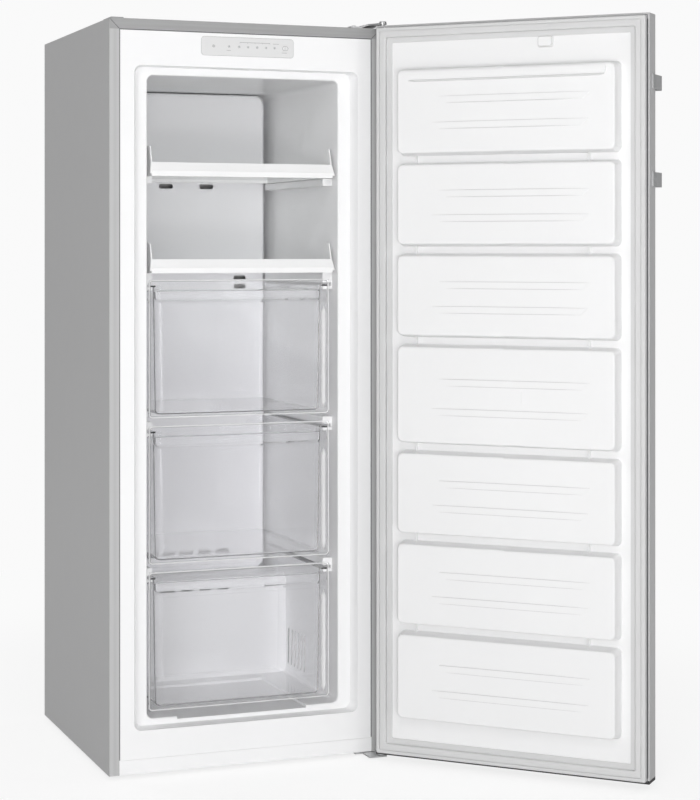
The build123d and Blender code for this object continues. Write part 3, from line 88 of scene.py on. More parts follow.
# a finish: its steady values go straight on the shader, what varies is fed in
class Recipe:
    labels = {"roughness": "Roughness", "metallic": "Metallic", "ior": "IOR",
              "transmission": "Transmission Weight", "specular": "Specular IOR Level"}

    def __init__(self, name, colour, **steady):
        self.material = bpy.data.materials.new(name)
        self.material.use_nodes = True
        self.tree = self.material.node_tree
        self.shader = self.tree.nodes["Principled BSDF"]
        self.shader.inputs["Base Color"].default_value = (*colour, 1)
        for key, value in steady.items():
            self.shader.inputs[self.labels[key]].default_value = value
        self.material.diffuse_color = (*colour, 1)

    def node(self, kind, settings=None, sockets=None, output=0):
        made = self.tree.nodes.new(kind)
        for key, value in (settings or {}).items():
            if key == "stops":
                ramp = made.color_ramp
                ramp.elements[0].position, ramp.elements[0].color = value[0][0], (*value[0][1], 1)
                ramp.elements[1].position, ramp.elements[1].color = value[-1][0], (*value[-1][1], 1)
                for place, tone in value[1:-1]:
                    ramp.elements.new(place).color = (*tone, 1)
            else:
                setattr(made, key, value)
        for key, value in (sockets or {}).items():
            if isinstance(value, Wire):
                self.tree.links.new(value.socket, made.inputs[key])
            else:
                made.inputs[key].default_value = value
        return Wire(self, made.outputs[output])

    def place(self):
        return self.node("ShaderNodeTexCoord", output="Object")

    def axis(self, which):
        return self.node("ShaderNodeSeparateXYZ", None, {0: self.place()}, which)

    def noise(self, scale, detail=2.0, roughness=0.5, stretch=(1, 1, 1)):
        where = self.node("ShaderNodeMapping", None, {"Vector": self.place(), "Scale": stretch})
        return self.node("ShaderNodeTexNoise", None, {"Vector": where, "Scale": scale,
                                                      "Detail": detail, "Roughness": roughness})

    def ramp(self, wire, stops):
        return self.node("ShaderNodeValToRGB", {"stops": stops}, {0: wire})

    def maximum(self, first, second):
        return self.node("ShaderNodeMath", {"operation": "MAXIMUM"}, {0: first, 1: second})

    def blend(self, amount, first, second, how="MIX"):
        sockets = {0: amount, 6: first if isinstance(first, Wire) else (*first, 1),
                   7: second if isinstance(second, Wire) else (*second, 1)}
        return self.node("ShaderNodeMix", {"data_type": "RGBA", "blend_type": how}, sockets, 2)

    def feed(self, label, wire):
        self.tree.links.new(wire.socket, self.shader.inputs[label])

    # mixes a second shader with the first on its way out
    def mixOut(self, amount, second):
        mixed = self.node("ShaderNodeMixShader", None,
                          {0: amount, 1: Wire(self, self.shader.outputs[0]), 2: second})
        self.tree.links.new(mixed.socket, self.tree.nodes["Material Output"].inputs["Surface"])

    def bump(self, height, distance):
        sockets = {"Height": height, "Distance": distance}
        self.feed("Normal", self.node("ShaderNodeBump", None, sockets))


def shade(colour, factor):
    return tuple(min(1.0, channel * factor) for channel in colour)


# moulded and vacuum-formed plastic: faint clouds, a fine grain, soft gloss
plastic = {"cloudScale": 3.5, "glossScale": 60, "glossSpread": 0.1}


def mouldedPlastic(name, colour, grain, depth, spread=0.02, **steady):
    made = Recipe(name, colour, **steady)
    clouds = made.noise(plastic["cloudScale"], 3)
    base = made.blend(clouds, shade(colour, 1 - spread), shade(colour, 1 + spread))
    made.feed("Base Color", base)
    gloss = made.noise(plastic["glossScale"], 3) * plastic["glossSpread"]
    made.feed("Roughness", gloss + (steady["roughness"] - plastic["glossSpread"] / 2))
    made.bump(made.noise(grain, 2), depth)
    return made.material


# bare and zinc-plated metal with its crystals
steel = {"cloudShare": 0.4, "dark": 0.82, "light": 1.08, "glossSpread": 0.25, "glossDrop": 0.1,
         "grain": 900, "depth": 0.00004}


def bareSteel(name, colour, roughness, spangle):
    made = Recipe(name, colour, metallic=1.0)
    flakes = made.node("ShaderNodeTexVoronoi", None, {"Vector": made.place(), "Scale": spangle})
    clouds = made.noise(spangle * steel["cloudShare"], 4)
    base = made.blend(clouds, shade(colour, steel["dark"]), shade(colour, steel["light"]))
    made.feed("Base Color", base)
    made.feed("Roughness", flakes * steel["glossSpread"] + (roughness - steel["glossDrop"]))
    made.bump(made.noise(steel["grain"], 2), steel["depth"])
    return made.material


# silver paint with fine flakes; the folded front rim is brushed along its run, its uprights carry
# painted highlight and painted shade in bands across the fold, and its top bar is painted darker as
# painted shade
silver = {"flakeScale": 1500, "flakeSize": 0.22, "flakeShare": 0.5, "dark": 0.985, "light": 1.06,
          "glossScale": 25, "glossSpread": 0.08, "grain": 650, "depth": 0.00002}
# the band across the uprights is painted highlight and painted shade, and the top bar's tones are
# painted shade
rim = {"front": -0.2697, "side": 0.2550, "top": 1.4095, "outer": 0.2750,
       "band": ((0.0, 0.84), (0.12, 0.98), (0.42, 0.90), (0.72, 1.0), (0.88, 0.98), (1.0, 0.68)),
       "streakScale": 420, "streakRun": (1, 1, 0.03), "streakShare": 0.16, "streakLight": 1.35,
       "barScale": 260, "barRun": (0.02, 1, 1), "barShadeTones": ((0.2, 0.66), (0.8, 0.76))}
doorStreaks = {"scale": 300, "run": (1, 1, 0.02), "share": 0.25, "light": 1.12}


def paintFlakes(made, colour):
    flakes = made.node("ShaderNodeTexVoronoi", None,
                       {"Vector": made.place(), "Scale": silver["flakeScale"]})
    return made.blend((flakes < silver["flakeSize"]) * silver["flakeShare"],
                      shade(colour, silver["dark"]), shade(colour, silver["light"]))


def paintGloss(made, roughness):
    gloss = made.noise(silver["glossScale"], 3) * silver["glossSpread"]
    made.feed("Roughness", gloss + (roughness - silver["glossSpread"] / 2))
    made.bump(made.noise(silver["grain"], 2), silver["depth"])


def cabinetSilver(name, colour, **steady):
    made = Recipe(name, colour, **steady)
    base = paintFlakes(made, colour)
    onRim = made.axis(1) < rim["front"]
    onTop = onRim * (made.axis(2) > rim["top"])
    upright = onRim - onTop
    across = (abs(made.axis(0)) - rim["side"]) / (rim["outer"] - rim["side"])
    # painted highlight and painted shade: lighter and darker bands across each upright of the rim
    band = made.ramp(across, [(place, (tone,) * 3) for place, tone in rim["band"]])
    streak = made.noise(rim["streakScale"], 3, 0.6, rim["streakRun"]) * rim["streakShare"]
    striped = made.blend(streak, base, shade(colour, rim["streakLight"]))
    base = made.blend(upright, base, made.blend(1.0, striped, band, "MULTIPLY"))
    # the top bar's brushed streaks, painted darker than the uprights as painted shade
    barShade = made.ramp(made.noise(rim["barScale"], 3, 0.6, rim["barRun"]),
                     [(place, shade(colour, tone)) for place, tone in rim["barShadeTones"]])
    made.feed("Base Color", made.blend(onTop, base, barShade))
    paintGloss(made, steady["roughness"])
    return made.material


def doorSilver(name, colour, **steady):
    made = Recipe(name, colour, **steady)
    base = paintFlakes(made, colour)
    streak = made.noise(doorStreaks["scale"], 3, 0.6, doorStreaks["run"]) * doorStreaks["share"]
    made.feed("Base Color", made.blend(streak, base, shade(colour, doorStreaks["light"])))
    paintGloss(made, steady["roughness"])
    return made.material


# clear walls bend what is seen through them, and let most of the room's own light pass straight
clearWalls = {"waveScale": 9}


def clearMoulding(name, colour, passed, wave, **steady):
    made = Recipe(name, colour, **steady)
    made.bump(made.noise(clearWalls["waveScale"], 1), wave)
    shadow = made.node("ShaderNodeLightPath", output="Is Shadow Ray")
    bounced = made.node("ShaderNodeLightPath", output="Is Diffuse Ray")
    passing = made.node("ShaderNodeBsdfTransparent", None, {"Color": (*passed, 1)})
    made.mixOut(made.maximum(shadow, bounced), passing)
    return made.material


# name, colour, then how fine and how deep the grain is, and how far the colour spreads
finishes = {
    "cabinetPaint": cabinetSilver("cabinetPaint", (0.51, 0.51, 0.513), roughness=0.55,
                                  specular=0.3),
    "doorPaint": doorSilver("doorPaint", (0.54, 0.54, 0.544), roughness=0.45, specular=0.4),
    "linerWhite": mouldedPlastic("linerWhite", (0.90, 0.90, 0.905), 380, 0.00004, roughness=0.32),
    # painted shade: the door liner's white plastic is made darker than the cabinet liner's, for the
    # stronger light falling on the door
    "doorShadedWhite": mouldedPlastic("doorShadedWhite", (0.865, 0.865, 0.868), 380, 0.00004, roughness=0.36),
    "coverWhite": mouldedPlastic("coverWhite", (0.89, 0.888, 0.905), 520, 0.00006, roughness=0.42),
    "trimWhite": mouldedPlastic("trimWhite", (0.90, 0.90, 0.902), 420, 0.00004, roughness=0.34),
    "panelGrey": mouldedPlastic("panelGrey", (0.73, 0.73, 0.732), 700, 0.00003, 0.01,
                                roughness=0.38),
    "buttonGrey": mouldedPlastic("buttonGrey", (0.80, 0.80, 0.802), 700, 0.00003, 0.01,
                                 roughness=0.35),
    "printGrey": mouldedPlastic("printGrey", (0.22, 0.22, 0.23), 900, 0.00001, 0.05, roughness=0.5),
    # painted shade: the dark of the narrow gaps round the rim, the gasket and the door's free edge
    "gapShadeDark": mouldedPlastic("gapShadeDark", (0.10, 0.10, 0.105), 900, 0.00002, 0.1, roughness=0.7),
    "shadeGrey": mouldedPlastic("shadeGrey", (0.66, 0.66, 0.663), 900, 0.00002, 0.03,
                                roughness=0.6),
    # painted highlight: the white of the ribs' crest lines
    "highlightWhite": mouldedPlastic("highlightWhite", (0.95, 0.95, 0.952), 900, 0.00002, 0.01, roughness=0.4),
    # painted highlight: a whiter, less clear moulding for the drawer fronts' bright edges and posts
    "edgeHighlight": clearMoulding("edgeHighlight", (1.0, 1.0, 1.0), (0.97, 0.97, 0.97), 0.00003,
                                 roughness=0.3, ior=1.3, transmission=0.68),
    # painted shade: the grey of the line round the control panel and of the dark lines inside the
    # drawer fronts' edges
    "shadeLineGrey": mouldedPlastic("shadeLineGrey", (0.42, 0.42, 0.425), 900, 0.00002, 0.1, roughness=0.6),
    "gasketGrey": mouldedPlastic("gasketGrey", (0.66, 0.66, 0.662), 700, 0.00005, roughness=0.6),
    "drawerClear": clearMoulding("drawerClear", (0.995, 0.995, 1.0), (0.985, 0.985, 0.99), 0.00004,
                                 roughness=0.03, ior=1.22, transmission=0.955),
    "shelfGlass": clearMoulding("shelfGlass", (0.97, 0.985, 0.98), (0.96, 0.97, 0.965), 0.00001,
                                roughness=0.02, ior=1.3, transmission=0.98),
    "zincPlate": bareSteel("zincPlate", (0.78, 0.785, 0.79), 0.42, 220),
    "backZinc": bareSteel("backZinc", (0.50, 0.51, 0.52), 0.46, 90),
    "blackPaint": mouldedPlastic("blackPaint", (0.02, 0.02, 0.022), 260, 0.00008, 0.15,
                                 roughness=0.32),
    "blackPlastic": mouldedPlastic("blackPlastic", (0.03, 0.03, 0.032), 900, 0.00006, 0.12,
                                   roughness=0.5),
    "blackRubber": mouldedPlastic("blackRubber", (0.025, 0.025, 0.025), 600, 0.0001, 0.15,
                                  roughness=0.8),
    "greyPlastic": mouldedPlastic("greyPlastic", (0.34, 0.345, 0.35), 800, 0.00005, roughness=0.45),
    "capGrey": mouldedPlastic("capGrey", (0.52, 0.52, 0.523), 800, 0.00005, roughness=0.5),
    "copperTube": bareSteel("copperTube", (0.75, 0.36, 0.22), 0.3, 300),
    "finAluminium": bareSteel("finAluminium", (0.75, 0.76, 0.77), 0.35, 400),
    "foam": mouldedPlastic("foam", (0.75, 0.62, 0.35), 300, 0.0008, 0.1, roughness=0.9),
    "boardGreen": mouldedPlastic("boardGreen", (0.03, 0.16, 0.06), 300, 0.00005, 0.1,
                                 roughness=0.35),
    "lampPlastic": mouldedPlastic("lampPlastic", (0.30, 0.33, 0.34), 300, 0.00002, roughness=0.25),
    "handleSilver": mouldedPlastic("handleSilver", (0.50, 0.505, 0.51), 700, 0.00003, 0.03,
                                   roughness=0.35, metallic=0.25),
}

dressing = {
    "cabinetPaint": ["outer_wrapper"],
    "doorPaint": ["door_skin"],
    "linerWhite": ["inner_liner", "plinth"],
    "doorShadedWhite": ["door_liner"],
    "panelGrey": ["control_panel"],
    "buttonGrey": ["control_button"],
    "coverWhite": ["evaporator_cover"],
    "trimWhite": ["shelf_upper_frame", "shelf_lower_frame"],
    "gasketGrey": ["door_gasket"],
    "drawerClear": ["drawer_upper", "drawer_middle", "drawer_lower"],
    "shelfGlass": ["shelf_upper_glass", "shelf_lower_glass"],
    "zincPlate": ["door_stop", "handle_screws", "top_hinge", "top_hinge_pin", "top_hinge_screws",
                  "bottom_hinge", "bottom_hinge_pin", "bracket_screws", "foot_bracket",
                  "roller_bracket_left", "roller_bracket_right", "roller_axle_left",
                  "roller_axle_right", "compressor_base"],
    "backZinc": ["back_panel", "bottom_pan"],
    "blackPaint": ["compressor", "reed_magnet"],
    "blackPlastic": ["fan_motor", "fan_impeller", "foot_left", "foot_right", "roller_left",
                     "roller_right", "relay_cover", "evaporation_tray", "cord_grommet",
                     "door_cap_bottom"],
    "blackRubber": ["compressor_mounts"],
    "greyPlastic": ["hinge_hole_cap", "drain_channel", "hinge_bush_bottom", "hinge_bush_top"],
    "capGrey": ["door_cap_top"],
    "copperTube": ["refrigerant_pipes", "filter_drier"],
    "finAluminium": ["evaporator", "defrost_heater"],
    "foam": ["cabinet_foam", "door_foam"],
    "boardGreen": ["control_board"],
    "lampPlastic": ["indicator_lamps"],
    "handleSilver": ["handle_bar", "handle_brackets"],
}

for finish, names in dressing.items():
    for name in names:
        nodes[name].data.materials.clear()
        nodes[name].data.materials.append(finishes[finish])
print("finishes on", sum(len(names) for names in dressing.values()), "parts")


# small pieces, in metres where the parts stand
def addPiece(name, mesh, finish, body):
    data = bpy.data.meshes.new(name)
    bmesh.ops.recalc_face_normals(mesh, faces=mesh.faces)
    mesh.to_mesh(data)
    mesh.free()
    for face in data.polygons:
        face.use_smooth = True
    data.materials.append(finishes[finish])
    piece = bpy.data.objects.new(name, data)
    bpy.context.collection.objects.link(piece)
    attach(piece, body)


# half-round bead along a run of points, mitred at its corners; sunk is how deep its foot goes,
# swell its share of the full size at each point
def addBead(mesh, run, width, height, facing, closed=False, sunk=0.0, steps=6, swell=None):
    rings = []
    count = len(run)
    for i, spot in enumerate(run):
        before = run[i - 1] if closed or i else None
        after = run[(i + 1) % count] if closed or i < count - 1 else None
        ways = [(spot - before).normalized()] if before else []
        ways += [(after - spot).normalized()] if after else []
        ahead = sum(ways, Vector()).normalized()
        side = facing.cross(ahead)
        half = width / 2 / max(0.3, ways[0].dot(ahead)) * (swell[i] if swell else 1)
        ring = []
        for step in range(steps + 1):
            turn = math.pi * step / steps
            ring.append(spot + side * (half * math.cos(turn)) + facing * (height * math.sin(turn)))
        ring.append(spot - side * half - facing * sunk)
        ring.append(spot + side * half - facing * sunk)
        rings.append([mesh.verts.new(corner) for corner in ring])
    around = len(rings[0])
    for i in range(count if closed else count - 1):
        here, there = rings[i], rings[(i + 1) % count]
        for j in range(around):
            k = (j + 1) % around
            mesh.faces.new((here[j], here[k], there[k], there[j]))
    if not closed:
        mesh.faces.new(rings[0])
        mesh.faces.new(rings[-1])


# corners of a rounded rectangle round a middle point
def roundedLoop(middle, across, up, width, height, radius, steps=5):
    corners = []
    for sx, sy, start in ((1, 1, 0), (-1, 1, 90), (-1, -1, 180), (1, -1, 270)):
        for step in range(steps + 1):
            turn = math.radians(start + 90 * step / steps)
            x = sx * (width / 2 - radius) + radius * math.cos(turn)
            y = sy * (height / 2 - radius) + radius * math.sin(turn)
            corners.append(middle + across * x + up * y)
    return corners


toRight, upwards, forwards = Vector((1, 0, 0)), Vector((0, 0, 1)), Vector((0, -1, 0))

# painted shade: dark strips standing in for the shade in the gaps between the silver rim and the
# white liner, and in the rim's mitred corners
rimGapShade = {"width": 0.0016, "height": 0.0005, "sunk": 0.0002, "foot": 0.0362}
mitreGapShade = {"width": 0.0011, "height": 0.0002, "sunk": 0.0006, "inset": 0.0008, "lift": 0.0001}


def buildRimGapShades():
    low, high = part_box("outer_wrapper")
    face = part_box("inner_liner")[0].y
    side, top = rim["side"], high.z - (rim["outer"] - rim["side"])
    half, head, foot = side - rimGapShade["width"] / 2, top - rimGapShade["width"] / 2, rimGapShade["foot"]
    corners = (-half, foot), (-half, head), (half, head), (half, foot)
    run = [Vector((x, face, z)) for x, z in corners]
    mesh = bmesh.new()
    addBead(mesh, run, rimGapShade["width"], rimGapShade["height"], forwards, sunk=rimGapShade["sunk"])
    addPiece("rimGapShade", mesh, "gapShadeDark", "cabinet")
    mesh = bmesh.new()
    inset, level = mitreGapShade["inset"], low.y + mitreGapShade["lift"]
    for way in (-1, 1):
        run = [Vector((way * (high.x - inset), level, high.z - inset)),
               Vector((way * side, level, top))]
        addBead(mesh, run, mitreGapShade["width"], mitreGapShade["height"], forwards,
                sunk=mitreGapShade["sunk"])
    addPiece("mitreGapShades", mesh, "gapShadeDark", "cabinet")


buildRimGapShades()

# painted shade: a grey line standing in for the shade round the control panel; and plain marks:
# dashes, a scale, rings and a snow crystal
panelRecessShade = {"line": 0.0007, "proud": 0.0004, "sunk": 0.0001, "grow": 0.0004, "corner": 0.006}
marks = {"line": 0.00045, "proud": 0.00012, "sunk": 0.0001, "dashLine": 0.0006,
         "crystal": (-0.069, 0.0, 0.0032), "arms": (30, 90, 150, 210, 270, 330),
         "branchPlace": 0.62, "branchReach": 0.32, "branchTurn": 50,
         "dashes": {"scale": (-0.0165, 0.0445, 0.0086), "short": (0.0505, 0.0625, 0.0078),
                    "lamp": (-0.0435, -0.0350, -0.0075), "button": (0.0680, 0.0790, -0.0088)},
         "ticks": 5, "tickDrop": (0.0004, 0.0019),
         "lampPitch": 0.018, "lampRing": 0.0021, "lampLine": 0.0004, "ringSteps": 20}
buttonMarks = {"width": 0.0112, "height": 0.0076, "corner": 0.0036, "line": 0.0007,
               "barHalf": 0.0026, "barLift": 0.0012, "barLine": 0.0005}


def buildPanelMarks():
    low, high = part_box("control_panel")
    middle = (low + high) / 2
    face = Vector((middle.x, low.y, middle.z))
    back = Vector((middle.x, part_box("inner_liner")[0].y, middle.z))
    mesh = bmesh.new()
    loop = roundedLoop(back, toRight, upwards, high.x - low.x + panelRecessShade["grow"],
                       high.z - low.z + panelRecessShade["grow"], panelRecessShade["corner"])
    addBead(mesh, loop, panelRecessShade["line"], panelRecessShade["proud"], forwards, closed=True,
            sunk=panelRecessShade["sunk"])
    addPiece("panelShadeOutline", mesh, "shadeLineGrey", "cabinet")
    mesh = bmesh.new()

    def dash(x0, z0, x1, z1, wide=marks["line"]):
        run = [face + toRight * x0 + upwards * z0, face + toRight * x1 + upwards * z1]
        addBead(mesh, run, wide, marks["proud"], forwards, sunk=marks["sunk"], steps=4)

    def spoke(x, z, reach, turn):
        tip = x + reach * math.cos(turn), z + reach * math.sin(turn)
        dash(x, z, *tip)

    x, z, reach = marks["crystal"]
    place, branch = marks["branchPlace"] * reach, marks["branchReach"] * reach
    for arm in marks["arms"]:
        turn = math.radians(arm)
        spoke(x, z, reach, turn)
        for way in (-1, 1):
            spoke(x + place * math.cos(turn), z + place * math.sin(turn), branch,
                  turn + way * math.radians(marks["branchTurn"]))
    for start, end, height in marks["dashes"].values():
        dash(start, height, end, height, marks["dashLine"])
    start, end, height = marks["dashes"]["scale"]
    for step in range(marks["ticks"]):
        spot = start + (end - start) * step / (marks["ticks"] - 1)
        dash(spot, height - marks["tickDrop"][0], spot, height - marks["tickDrop"][1])

    # the lamps are one part, so their places come from its points, grouped by the lamps' pitch
    def lampAt(x):
        return round((x - middle.x) / marks["lampPitch"])

    places = [corner.co.x for corner in nodes["indicator_lamps"].data.vertices]
    turns = [math.tau * step / marks["ringSteps"] for step in range(marks["ringSteps"])]
    ring = marks["lampRing"]
    for lamp in sorted({lampAt(x) for x in places}):
        own = [x for x in places if lampAt(x) == lamp]
        across = (min(own) + max(own)) / 2 - middle.x
        loop = [face + toRight * (across + ring * math.cos(turn))
                + upwards * (ring * math.sin(turn)) for turn in turns]
        addBead(mesh, loop, marks["lampLine"], marks["proud"], forwards, closed=True,
                sunk=marks["sunk"], steps=4)
    addPiece("panelMarks", mesh, "printGrey", "cabinet")

    low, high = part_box("control_button")
    top = Vector(((low.x + high.x) / 2, low.y, (low.z + high.z) / 2))
    mesh = bmesh.new()
    loop = roundedLoop(top, toRight, upwards, buttonMarks["width"], buttonMarks["height"],
                       buttonMarks["corner"])
    addBead(mesh, loop, buttonMarks["line"], marks["proud"], forwards, closed=True,
            sunk=marks["sunk"])
    half = toRight * buttonMarks["barHalf"]
    for lift in (-buttonMarks["barLift"], buttonMarks["barLift"]):
        spot = top + upwards * lift
        addBead(mesh, [spot - half, spot + half], buttonMarks["barLine"], marks["proud"], forwards,
                sunk=marks["sunk"], steps=4)
    addPiece("buttonMark", mesh, "printGrey", "control_button_body")


buildPanelMarks()
print("rim seams and panel marks done")

# the door stands open: u runs from its hinge edge, t outwards from its inner plane
doorFrame = {"axis": (0.2675, -0.298), "open": 134, "hingeInset": 0.0075, "back": 0.016,
             "width": 0.55, "bottom": 0.011, "top": 1.4315}
# painted shade: a dark strip round the door's inner plane, standing in for the shade in the gap
# between the gasket and the door
gasketGapShade = {"inset": 0.005, "width": 0.0013, "height": 0.0004, "sunk": 0.0002}

swing = Matrix.Rotation(math.radians(180 + doorFrame["open"]), 4, "Z")
doorInwards = swing.to_3x3() @ Vector((0, -1, 0))
doorAcross = swing.to_3x3() @ Vector((1, 0, 0))


def onDoor(u, t, z):
    spot = swing @ Vector((u - doorFrame["hingeInset"], t - doorFrame["back"], 0))
    return Vector((spot.x + doorFrame["axis"][0], spot.y + doorFrame["axis"][1], z))


def buildGasketGapShade():
    grow = gasketGapShade["width"] / 2 - gasketGapShade["inset"]
    left, right = -grow, doorFrame["width"] + grow
    low, high = doorFrame["bottom"] - grow, doorFrame["top"] + grow
    mesh = bmesh.new()
    corners = (left, low), (right, low), (right, high), (left, high)
    run = [onDoor(u, 0, z) for u, z in corners]
    addBead(mesh, run, gasketGapShade["width"], gasketGapShade["height"], doorInwards, closed=True,
            sunk=gasketGapShade["sunk"])
    addPiece("gasketGapShade", mesh, "gapShadeDark", "door")


buildGasketGapShade()

# painted shade and painted highlight lines on the seven raised fields of the door: on the rows of
# ribs, under the bar at the top and round the magnet's boss
doorFields = {"bottom": 0.094, "topMargin": 0.0914, "gap": 0.022, "face": -0.030,
              "shares": (21, 20, 20, 24, 20, 20, 21), "taper": 0.014, "sunk": 0.0004,
              "rows": ((0.366, 0.145, 0.105), (0.674, 0.130, 0.108))}
# a rib's painted lines, grey shade above and below it and a white highlight on its crest: lift over
# its middle, how far each end is cut; fade is where the full width starts, and the share of it at
# the tips
ribShadeAndHighlight = {
    "upper": {"finish": "shadeGrey", "lift": 0.0063, "width": 0.0015, "height": 0.0006, "cut": 0},
    "crest": {"finish": "highlightWhite", "lift": -0.0048, "width": 0.0022, "height": 0.0011,
              "cut": doorFields["taper"]},
    "foot": {"finish": "shadeGrey", "lift": -0.0066, "width": 0.0012, "height": 0.0005,
             "cut": doorFields["taper"]},
}
ribFade = (0.2, 0.1)
# painted shadow under the bar at the top, and painted shade lines round the magnet's boss
lipBarShadow = {"ends": (0.081, 0.077), "drop": 0.0212, "width": 0.0052, "height": 0.0016,
          "fade": (0.03, 0.2)}
boss = {"place": 0.3485, "drop": 0.045, "width": 0.029, "height": 0.020, "corner": 0.004,
        "line": 0.0011, "lineHeight": 0.0004, "sunk": 0.0003,
        "loops": ((0, 0.0012), (-0.005, -0.0026))}


# a bead on the fields' face that narrows towards both ends
def addFading(mesh, start, end, level, width, height, fade):
    full, tip = fade
    run = [onDoor(start + (end - start) * part, doorFields["face"], level)
           for part in (0, full, 1 - full, 1)]
    addBead(mesh, run, width, height, doorInwards, sunk=doorFields["sunk"], swell=(tip, 1, 1, tip))


def buildRibShadeAndHighlight():
    top = doorFrame["top"] - doorFields["topMargin"]
    room = top - doorFields["bottom"] - (len(doorFields["shares"]) - 1) * doorFields["gap"]
    meshes = {"shadeGrey": bmesh.new(), "highlightWhite": bmesh.new()}
    for share in doorFields["shares"]:
        height = room * share / sum(doorFields["shares"])
        for down, start, margin in doorFields["rows"]:
            for line in ribShadeAndHighlight.values():
                end = doorFrame["width"] - margin
                addFading(meshes[line["finish"]], start + line["cut"], end - line["cut"],
                          top - down * height + line["lift"], line["width"], line["height"],
                          ribFade)
        top -= height + doorFields["gap"]
    level = doorFrame["top"] - doorFields["topMargin"] - lipBarShadow["drop"]
    addFading(meshes["shadeGrey"], lipBarShadow["ends"][0], doorFrame["width"] - lipBarShadow["ends"][1], level,
              lipBarShadow["width"], lipBarShadow["height"], lipBarShadow["fade"])
    level = doorFrame["top"] - boss["drop"]
    for depth, grow in boss["loops"]:
        loop = roundedLoop(onDoor(boss["place"], depth, level), doorAcross, upwards,
                           boss["width"] + grow, boss["height"] + grow, boss["corner"])
        addBead(meshes["shadeGrey"], loop, boss["line"], boss["lineHeight"], doorInwards,
                closed=True, sunk=boss["sunk"])
    addPiece("ribShade", meshes["shadeGrey"], "shadeGrey", "door")
    addPiece("ribHighlight", meshes["highlightWhite"], "highlightWhite", "door")


buildRibShadeAndHighlight()

# painted shade: a dark strip standing in for the shade in the gap along the door's free edge
edgeGapShade = {"place": 0.5462, "ends": 0.012, "width": 0.0026, "height": 0.0005, "sunk": 0.0002}


def buildEdgeGapShade():
    mesh = bmesh.new()
    run = [onDoor(edgeGapShade["place"], 0, doorFrame["bottom"] + edgeGapShade["ends"]),
           onDoor(edgeGapShade["place"], 0, doorFrame["top"] - edgeGapShade["ends"])]
    addBead(mesh, run, edgeGapShade["width"], edgeGapShade["height"], doorInwards, sunk=edgeGapShade["sunk"])
    addPiece("edgeGapShade", mesh, "gapShadeDark", "door")


buildEdgeGapShade()
print("door seams and ribs done")

# painted highlights on the clear drawer fronts, a bright rim along their edges and a post near
# their right side, with a painted dark line just inside the rim, standing in for how the fronts
# catch the light
drawerEdgeLights = {"half": 0.184, "sunk": 0.0003, "rim": 0.0024, "rimProud": 0.0006, "rimCorner": 0.006,
               "line": 0.0009, "lineProud": 0.0003, "lineInset": 0.0031, "lineCorner": 0.004,
               "post": 0.0090, "postProud": 0.0006, "postInset": 0.0115, "postDrop": 0.054,
               "postFade": (0.06, 0.2)}


def buildDrawerEdgeLights():
    for level in ("upper", "middle", "lower"):
        low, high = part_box("drawer_" + level)
        middle = Vector((0, low.y, (low.z + high.z) / 2))
        width, height = 2 * drawerEdgeLights["half"], high.z - low.z
        body = "drawer_%s_body" % level

        def addLoop(mesh, inset, corner, line, proud):
            loop = roundedLoop(middle, toRight, upwards, width - 2 * inset, height - 2 * inset,
                               corner)
            addBead(mesh, loop, line, proud, forwards, closed=True, sunk=drawerEdgeLights["sunk"])

        bright, dark = bmesh.new(), bmesh.new()
        addLoop(bright, drawerEdgeLights["rim"] / 2, drawerEdgeLights["rimCorner"], drawerEdgeLights["rim"],
                drawerEdgeLights["rimProud"])
        addLoop(dark, drawerEdgeLights["lineInset"], drawerEdgeLights["lineCorner"], drawerEdgeLights["line"],
                drawerEdgeLights["lineProud"])
        side = drawerEdgeLights["half"] - drawerEdgeLights["postInset"]
        foot, head = low.z + drawerEdgeLights["postInset"], high.z - drawerEdgeLights["postDrop"]
        full, tip = drawerEdgeLights["postFade"]
        run = [Vector((side, low.y, foot + (head - foot) * part))
               for part in (0, full, 1 - full, 1)]
        addBead(bright, run, drawerEdgeLights["post"], drawerEdgeLights["postProud"], forwards,
                sunk=drawerEdgeLights["sunk"], swell=(tip, 1, 1, tip))
        addPiece("drawerRim_" + level, bright, "edgeHighlight", body)
        addPiece("drawerLine_" + level, dark, "shadeLineGrey", body)


buildDrawerEdgeLights()
print("drawer edges done")

# plain studio: pale floor, an even dome and soft lamps
studio = {
    "domeLight": 0.22,
    "skyShown": 0.955,
    "floorColour": (0.93, 0.93, 0.93),
    "floorRoughness": 0.87,
    "floorGlossSpread": 0.05,
    "floorReach": 14,
    "floorGlow": (0.72, 1.0),
    "floorShown": (1.10, 0.955),
    "shadowReach": (0.9, 2.2),
    "lamps": {
        "keyLamp": {"place": (-2.0, -4.2, 3.6), "aim": (0.1, 0, 0.75), "size": 1.8,
                    "watts": 42, "mirrored": True},
        "leftLamp": {"place": (-2.8, -3.9, 1.2), "aim": (0.1, 0, 0.75), "size": 2.2,
                     "watts": 47, "mirrored": True},
        "rightFrontLamp": {"place": (2.2, -4.6, 1.4), "aim": (0.1, 0, 0.75), "size": 2.0,
                           "watts": 22, "mirrored": True},
        "lowLamp": {"place": (-1.0, -4.6, 0.35), "aim": (0.1, 0, 0.75), "size": 1.4,
                    "watts": 75, "mirrored": False},
        "rightLamp": {"place": (3.6, 0.6, 2.2), "aim": (0.1, -0.1, 0.7), "size": 2.4,
                      "watts": 26, "mirrored": False},
        "backLamp": {"place": (-2.4, 3.8, 2.2), "aim": (0, 0, 0.7), "size": 2.6,
                     "watts": 65, "mirrored": False},
    },
}


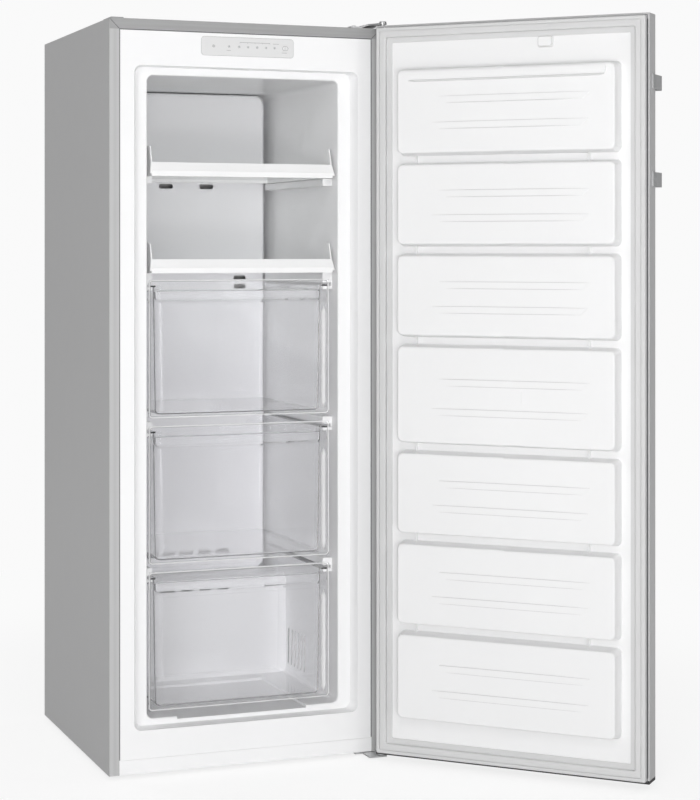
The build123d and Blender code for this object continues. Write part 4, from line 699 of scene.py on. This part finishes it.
def buildDome():
    world = bpy.data.worlds.new("studioDome")
    bpy.context.scene.world = world
    world.use_nodes = True
    tree = world.node_tree
    dome = tree.nodes["Background"]
    path = tree.nodes.new("ShaderNodeLightPath")
    seen = tree.nodes.new("ShaderNodeMath")
    seen.operation = "MAXIMUM"
    tree.links.new(path.outputs["Is Camera Ray"], seen.inputs[0])
    tree.links.new(path.outputs["Is Transmission Ray"], seen.inputs[1])
    level = tree.nodes.new("ShaderNodeMapRange")
    level.inputs["To Min"].default_value = studio["domeLight"]
    level.inputs["To Max"].default_value = studio["skyShown"]
    tree.links.new(seen.outputs[0], level.inputs["Value"])
    tree.links.new(level.outputs[0], dome.inputs["Strength"])
    dome.inputs["Color"].default_value = (1, 1, 1, 1)


def buildFloor():
    mesh = bpy.data.meshes.new("studioFloor")
    reach = studio["floorReach"]
    corners = [(x * reach, y * reach, 0) for x, y in ((-1, -1), (1, -1), (1, 1), (-1, 1))]
    mesh.from_pydata(corners, [], [(0, 1, 2, 3)])
    floor = bpy.data.objects.new("studioFloor", mesh)
    bpy.context.collection.objects.link(floor)
    pale = Recipe("studioFloor", studio["floorColour"], specular=0.0)
    gloss = pale.noise(3, 2) * studio["floorGlossSpread"]
    pale.feed("Roughness", gloss + studio["floorRoughness"])
    # near the object the floor keeps its shadow, and further out it melts into the background
    start, end = studio["shadowReach"]
    away = (pale.axis(0) ** 2 + pale.axis(1) ** 2) ** 0.5
    far = pale.node("ShaderNodeMapRange", {"interpolation_type": "SMOOTHSTEP"},
                    {"Value": away, "From Min": start, "From Max": end})
    nearShown, farShown = studio["floorShown"]
    shown = pale.blend(far, (nearShown,) * 3, (farShown,) * 3)
    glow = pale.node("ShaderNodeEmission", None, {"Color": shown, "Strength": 1.0})
    nearGlow, farGlow = studio["floorGlow"]
    seen = pale.node("ShaderNodeLightPath", output="Is Camera Ray")
    pale.mixOut(seen * (far * (farGlow - nearGlow) + nearGlow), glow)
    mesh.materials.append(pale.material)


def buildLamps():
    for name, lamp in studio["lamps"].items():
        light = bpy.data.lights.new(name, "AREA")
        light.shape = "DISK"
        light.size = lamp["size"]
        light.energy = lamp["watts"]
        holder = bpy.data.objects.new(name, light)
        holder.location = lamp["place"]
        aim = Vector(lamp["aim"]) - Vector(lamp["place"])
        holder.rotation_euler = aim.to_track_quat("-Z", "Y").to_euler()
        holder.visible_glossy = lamp["mirrored"]
        bpy.context.collection.objects.link(holder)


buildDome()
buildFloor()
buildLamps()
bpy.context.scene.view_settings.view_transform = "Standard"
print("studio ready")
